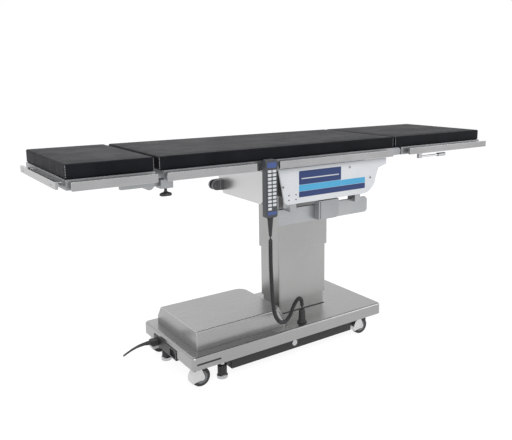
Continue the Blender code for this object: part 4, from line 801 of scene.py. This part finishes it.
# Share of the wing's outline, and height over its foot, from the foot up to the neck.
wing_levels = ((0.86, 0.0), (0.97, 0.0015), (1.0, 0.0045), (0.94, 0.0085), (0.66, 0.0115),
               (0.34, 0.0135), (0.30, 0.0165))
wing_rings = []
for share, rise in wing_levels:
    wing_rings.append([knob_shape.verts.new((knob_mid.x + (x - knob_mid.x) * share,
                                             knob_mid.y + (y - knob_mid.y) * share, wing_low + rise))
                       for x, y in wing])
knob_shape.faces.new(list(reversed(wing_rings[0])))
knob_shape.faces.new(wing_rings[-1])
for lower, upper in zip(wing_rings, wing_rings[1:]):
    for i in range(wing_points):
        j = (i + 1) % wing_points
        knob_shape.faces.new((lower[i], lower[j], upper[j], upper[i]))
screw_radius, screw_foot = 0.0050, 0.014
screw_place = Matrix.Translation((knob_mid.x, knob_mid.y, (knob_high.z + wing_low + screw_foot) / 2))
bmesh.ops.create_cone(knob_shape, cap_ends=True, segments=24, radius1=screw_radius, radius2=screw_radius,
                      depth=knob_high.z - wing_low - screw_foot, matrix=screw_place)
bmesh.ops.recalc_face_normals(knob_shape, faces=knob_shape.faces)
knob_mesh = mesh_of("wing_knob", knob_shape)
knob_mesh.materials.append(moulded)
knob_mesh.shade_smooth()
knob_mesh.set_sharp_from_angle(angle=radians(40))
keep(added("wing_knob", knob_mesh), "knob", "dark_plastic", "head_clamp_knob")
eased("leg_release_lever", polished, "polished_steel", edge=0.0008)


# Hand control: a moulded dark grey case that hooks on a clip under the frame, with a blue band above and
# below two columns of pale keys. The strain relief is a tapered rubber sleeve.
case_grey = finish_of("case_grey", (0.040, 0.044, 0.050), (0.060, 0.064, 0.072), (0.36, 0.48),
                      fineness=600, bump=0.12)
eased("pendant_body", case_grey, "dark_plastic", edge=0.0025)
case_low, case_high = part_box("pendant_body")
case_mid = (case_low.x + case_high.x) / 2
blue_band = finish_of("band_blue", (0.045, 0.080, 0.240), (0.055, 0.095, 0.280), (0.30, 0.40),
                      fineness=200, bump=0.0)
band_half = 0.0205
for name, z in (("control_header", (case_high.z - 0.030, case_high.z - 0.010)),
                ("control_footer", (case_low.z + 0.012, case_low.z + 0.024))):
    tile(name, (case_mid - band_half, case_mid + band_half), z, 0.003, case_low.y - tile_stands, tile_thick,
         blue_band, "pendant", "dark_plastic")
key_white = finish_of("key_white", (0.62, 0.63, 0.64), (0.72, 0.73, 0.74), (0.35, 0.45), fineness=300,
                      bump=0.03)
key_rows = 11
key_half_width, key_half_height, key_offset = 0.0080, 0.0048, 0.0105
key_pitch = (case_high.z - case_low.z - 0.064) / key_rows
for row in range(key_rows):
    key_z = case_high.z - 0.036 - key_pitch * (row + 0.5)
    for column, key_x in enumerate((case_mid - key_offset, case_mid + key_offset)):
        if row == key_rows - 1 and column == 1:
            continue
        tile(f"key_{row + 1}_{column + 1}", (key_x - key_half_width, key_x + key_half_width),
             (key_z - key_half_height, key_z + key_half_height), 0.0022, case_low.y - 0.0014, 0.0018,
             key_white, "pendant", "dark_plastic")
eased("pendant_relief", black_rubber, "black_rubber", edge=0.0006)


# Power inlet at the head end of the base: a moulded panel with one recess and the lead's moulded
# connector. The hand control's pillar socket and the wall plug are black rubber too.
eased("inlet_panel", moulded, "dark_plastic", edge=0.0010)
eased("mains_connector", black_rubber, "black_rubber", edge=0.0012)
eased("cord_socket", black_rubber, "black_rubber", edge=0.0006)
eased("wall_plug", black_rubber, "black_rubber", edge=0.0008)


# Mains lead: a black rubber-sheathed cable, 15 ft as such tables have, from the moulded connector at
# the head end round behind the base. What isn't in view is wound in a neat coil with the wall plug.
def smooth_line(knots, steps=12):
    """Points on a smooth curve through the knots."""
    knots = [Vector(k) for k in knots]
    knots = [2 * knots[0] - knots[1]] + knots + [2 * knots[-1] - knots[-2]]
    line = []
    for i in range(1, len(knots) - 2):
        a, b, c, d = knots[i - 1:i + 3]
        for step in range(steps):
            t = step / steps
            line.append(0.5 * (2 * b + (c - a) * t + (2 * a - 5 * b + 4 * c - d) * t * t
                               + (3 * b - a - 3 * c + d) * t ** 3))
    return line + [knots[-2]]


def line_length(line):
    """Length of a line of points."""
    return sum((q - p).length for p, q in zip(line, line[1:]))


lead_diameter = 0.008
lead_exit = Vector((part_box("mains_connector")[0].x - 0.0003, 0.088, 0.096))
on_floor = lead_diameter / 2 + 0.0003
lead_route = [lead_exit, lead_exit + Vector((-0.018, 0.0008, -0.001)), (-0.6760, 0.0935, 0.0905),
              (-0.6940, 0.1040, 0.0795), (-0.7070, 0.1230, 0.0620), (-0.7080, 0.1500, 0.0435),
              (-0.6935, 0.1850, 0.0280), (-0.6620, 0.2270, 0.0150), (-0.6270, 0.2640, 0.0068),
              (-0.5880, 0.2880, on_floor), (-0.5400, 0.2990, on_floor), (-0.4800, 0.3010, on_floor),
              (-0.4100, 0.2960, on_floor), (-0.3400, 0.2860, on_floor), (-0.2900, 0.2828, on_floor),
              (-0.2550, 0.2826, on_floor)]
coil_centre = Vector((-0.230, 0.345, 0))
coil_inner, coil_outer = 0.03755, 0.06245
turns_in_layer, coil_layers, turn_steps = 3, 4, 40
layer_rise = lead_diameter + 0.0003
layer_climb = 0.18          # share of a turn, each side of a layer's end, over which the lead climbs


def coil_point(turn):
    """The coil winds in on one layer and out on the next, each layer lying on the one below."""
    layer = min(int(turn / turns_in_layer), coil_layers - 1)
    share = turn / turns_in_layer - layer
    inward = share if layer % 2 == 0 else 1 - share
    radius = coil_outer + (coil_inner - coil_outer) * inward
    near = round(turn / turns_in_layer)
    offset = turn - near * turns_in_layer
    level = layer
    if 0 < near < coil_layers and abs(offset) < layer_climb:
        blend = (offset + layer_climb) / (2 * layer_climb)
        level = near - 1 + blend * blend * (3 - 2 * blend)
    angle = -pi / 2 + 2 * pi * turn
    return coil_centre + Vector((radius * cos(angle), radius * sin(angle), on_floor + level * layer_rise))


coil_line = [coil_point(i / turn_steps) for i in range(turns_in_layer * coil_layers * turn_steps + 1)]
plug_low, plug_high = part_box("wall_plug")
plug_x = (plug_low.x + plug_high.x) / 2
tail_bend = 0.040
tail_height = coil_line[-1].z
tail_line = [Vector((coil_centre.x + 0.012, coil_line[-1].y, tail_height - 0.0004)),
             Vector((coil_centre.x + 0.030, coil_line[-1].y, tail_height - 0.002))]
for i in range(9):
    angle = -pi / 2 + pi / 2 * i / 8
    tail_line.append(Vector((plug_x - tail_bend + tail_bend * cos(angle),
                             coil_line[-1].y + tail_bend + tail_bend * sin(angle),
                             tail_height - 0.003 - 0.0006 * i)))
lead_line = smooth_line(lead_route) + coil_line + smooth_line(tail_line, 4)
mains_lead = tube("mains_lead", lead_line, lead_diameter, cable_sheath)
keep(mains_lead, "base", "black_rubber", "mains_cord", "mains_coil")


# Hand control cord: a black coiled cord, 17 mm over its turns, that hangs from the hand control's
# strain relief in a loop and rises into the pillar socket on the base. It is made in five stretches,
# end to end, cut at set heights, and all are fixed where they are made.
curly_wire = 0.0052
curly_outside = 0.017
curly_pitch = 0.0060
curly_straight = 0.007      # straight wire at both ends, before the turns open
relief_low, relief_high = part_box("pendant_relief")
socket_low, socket_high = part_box("cord_socket")
cord_gap = 0.0003
cord_top = Vector(((relief_low.x + relief_high.x) / 2, (relief_low.y + relief_high.y) / 2,
                   relief_low.z - cord_gap))
cord_foot = Vector(((socket_low.x + socket_high.x) / 2, (socket_low.y + socket_high.y) / 2,
                    socket_high.z + cord_gap))
curly_route = [cord_top, (cord_top.x, cord_top.y, 0.530), (-0.275, -0.281, 0.460), (-0.271, -0.279, 0.390),
               (-0.265, -0.276, 0.320), (-0.251, -0.269, 0.250), (-0.220, -0.256, 0.203),
               (-0.180, -0.240, 0.187), (-0.143, -0.224, 0.203), (-0.113, -0.211, 0.236),
               (-0.082, -0.199, 0.250), (-0.062, -0.1905, 0.236), (cord_foot.x, cord_foot.y, 0.208),
               cord_foot]


def wound(route, wire, outside, pitch, straight):
    """Helix round a smooth route, running out into the straight ends of the wire."""
    line = smooth_line(route, 24)
    total = line_length(line)
    helix, walked, side = [], 0.0, Vector((1, 0, 0))
    steps_per_turn = 14
    opening_pitches = 1.5
    spacing = pitch / steps_per_turn
    goal = 0.0
    for p, q in zip(line, line[1:]):
        along = (q - p).normalized()
        side = (side - along * side.dot(along)).normalized()
        other = along.cross(side)
        stretch = (q - p).length
        while goal <= walked + stretch and goal <= total:
            spot = p + along * (goal - walked)
            from_end = min(goal, total - goal)
            open_out = min(1.0, max(0.0, (from_end - straight) / (opening_pitches * pitch)))
            radius = (outside - wire) / 2 * open_out
            angle = 2 * pi * goal / pitch
            helix.append(spot + radius * (side * cos(angle) + other * sin(angle)))
            goal += spacing
        walked += stretch
    return helix + [line[-1]]


curly_line = wound(curly_route, curly_wire, curly_outside, curly_pitch, curly_straight)
# Body below, body above and height of the lower end of each stretch, from the top down.
cord_cuts = (("seat", "pendant", 0.535), ("saddle", "seat", 0.450), ("yoke", "saddle", 0.400),
             ("lift", "yoke", 0.355))
end_margin = 0.004          # curly_from is set this far above each cut
curly_first, curly_from = 0, cord_top.z - 0.006
for below, above, cut_z in cord_cuts:
    curly_last = next(i for i in range(curly_first, len(curly_line)) if curly_line[i].z < cut_z)
    stretch = curly_line[curly_first:curly_last + 1]
    curly_part = tube("hand_control_cord_" + above, stretch, curly_wire, cable_sheath, 1)
    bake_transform(curly_part)
    curly_first, curly_from = curly_last, cut_z - end_margin
stretch = curly_line[curly_first:]
hand_control_cord = tube("hand_control_cord", stretch, curly_wire, cable_sheath, 1)
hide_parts("pendant_cord")
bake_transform(hand_control_cord)
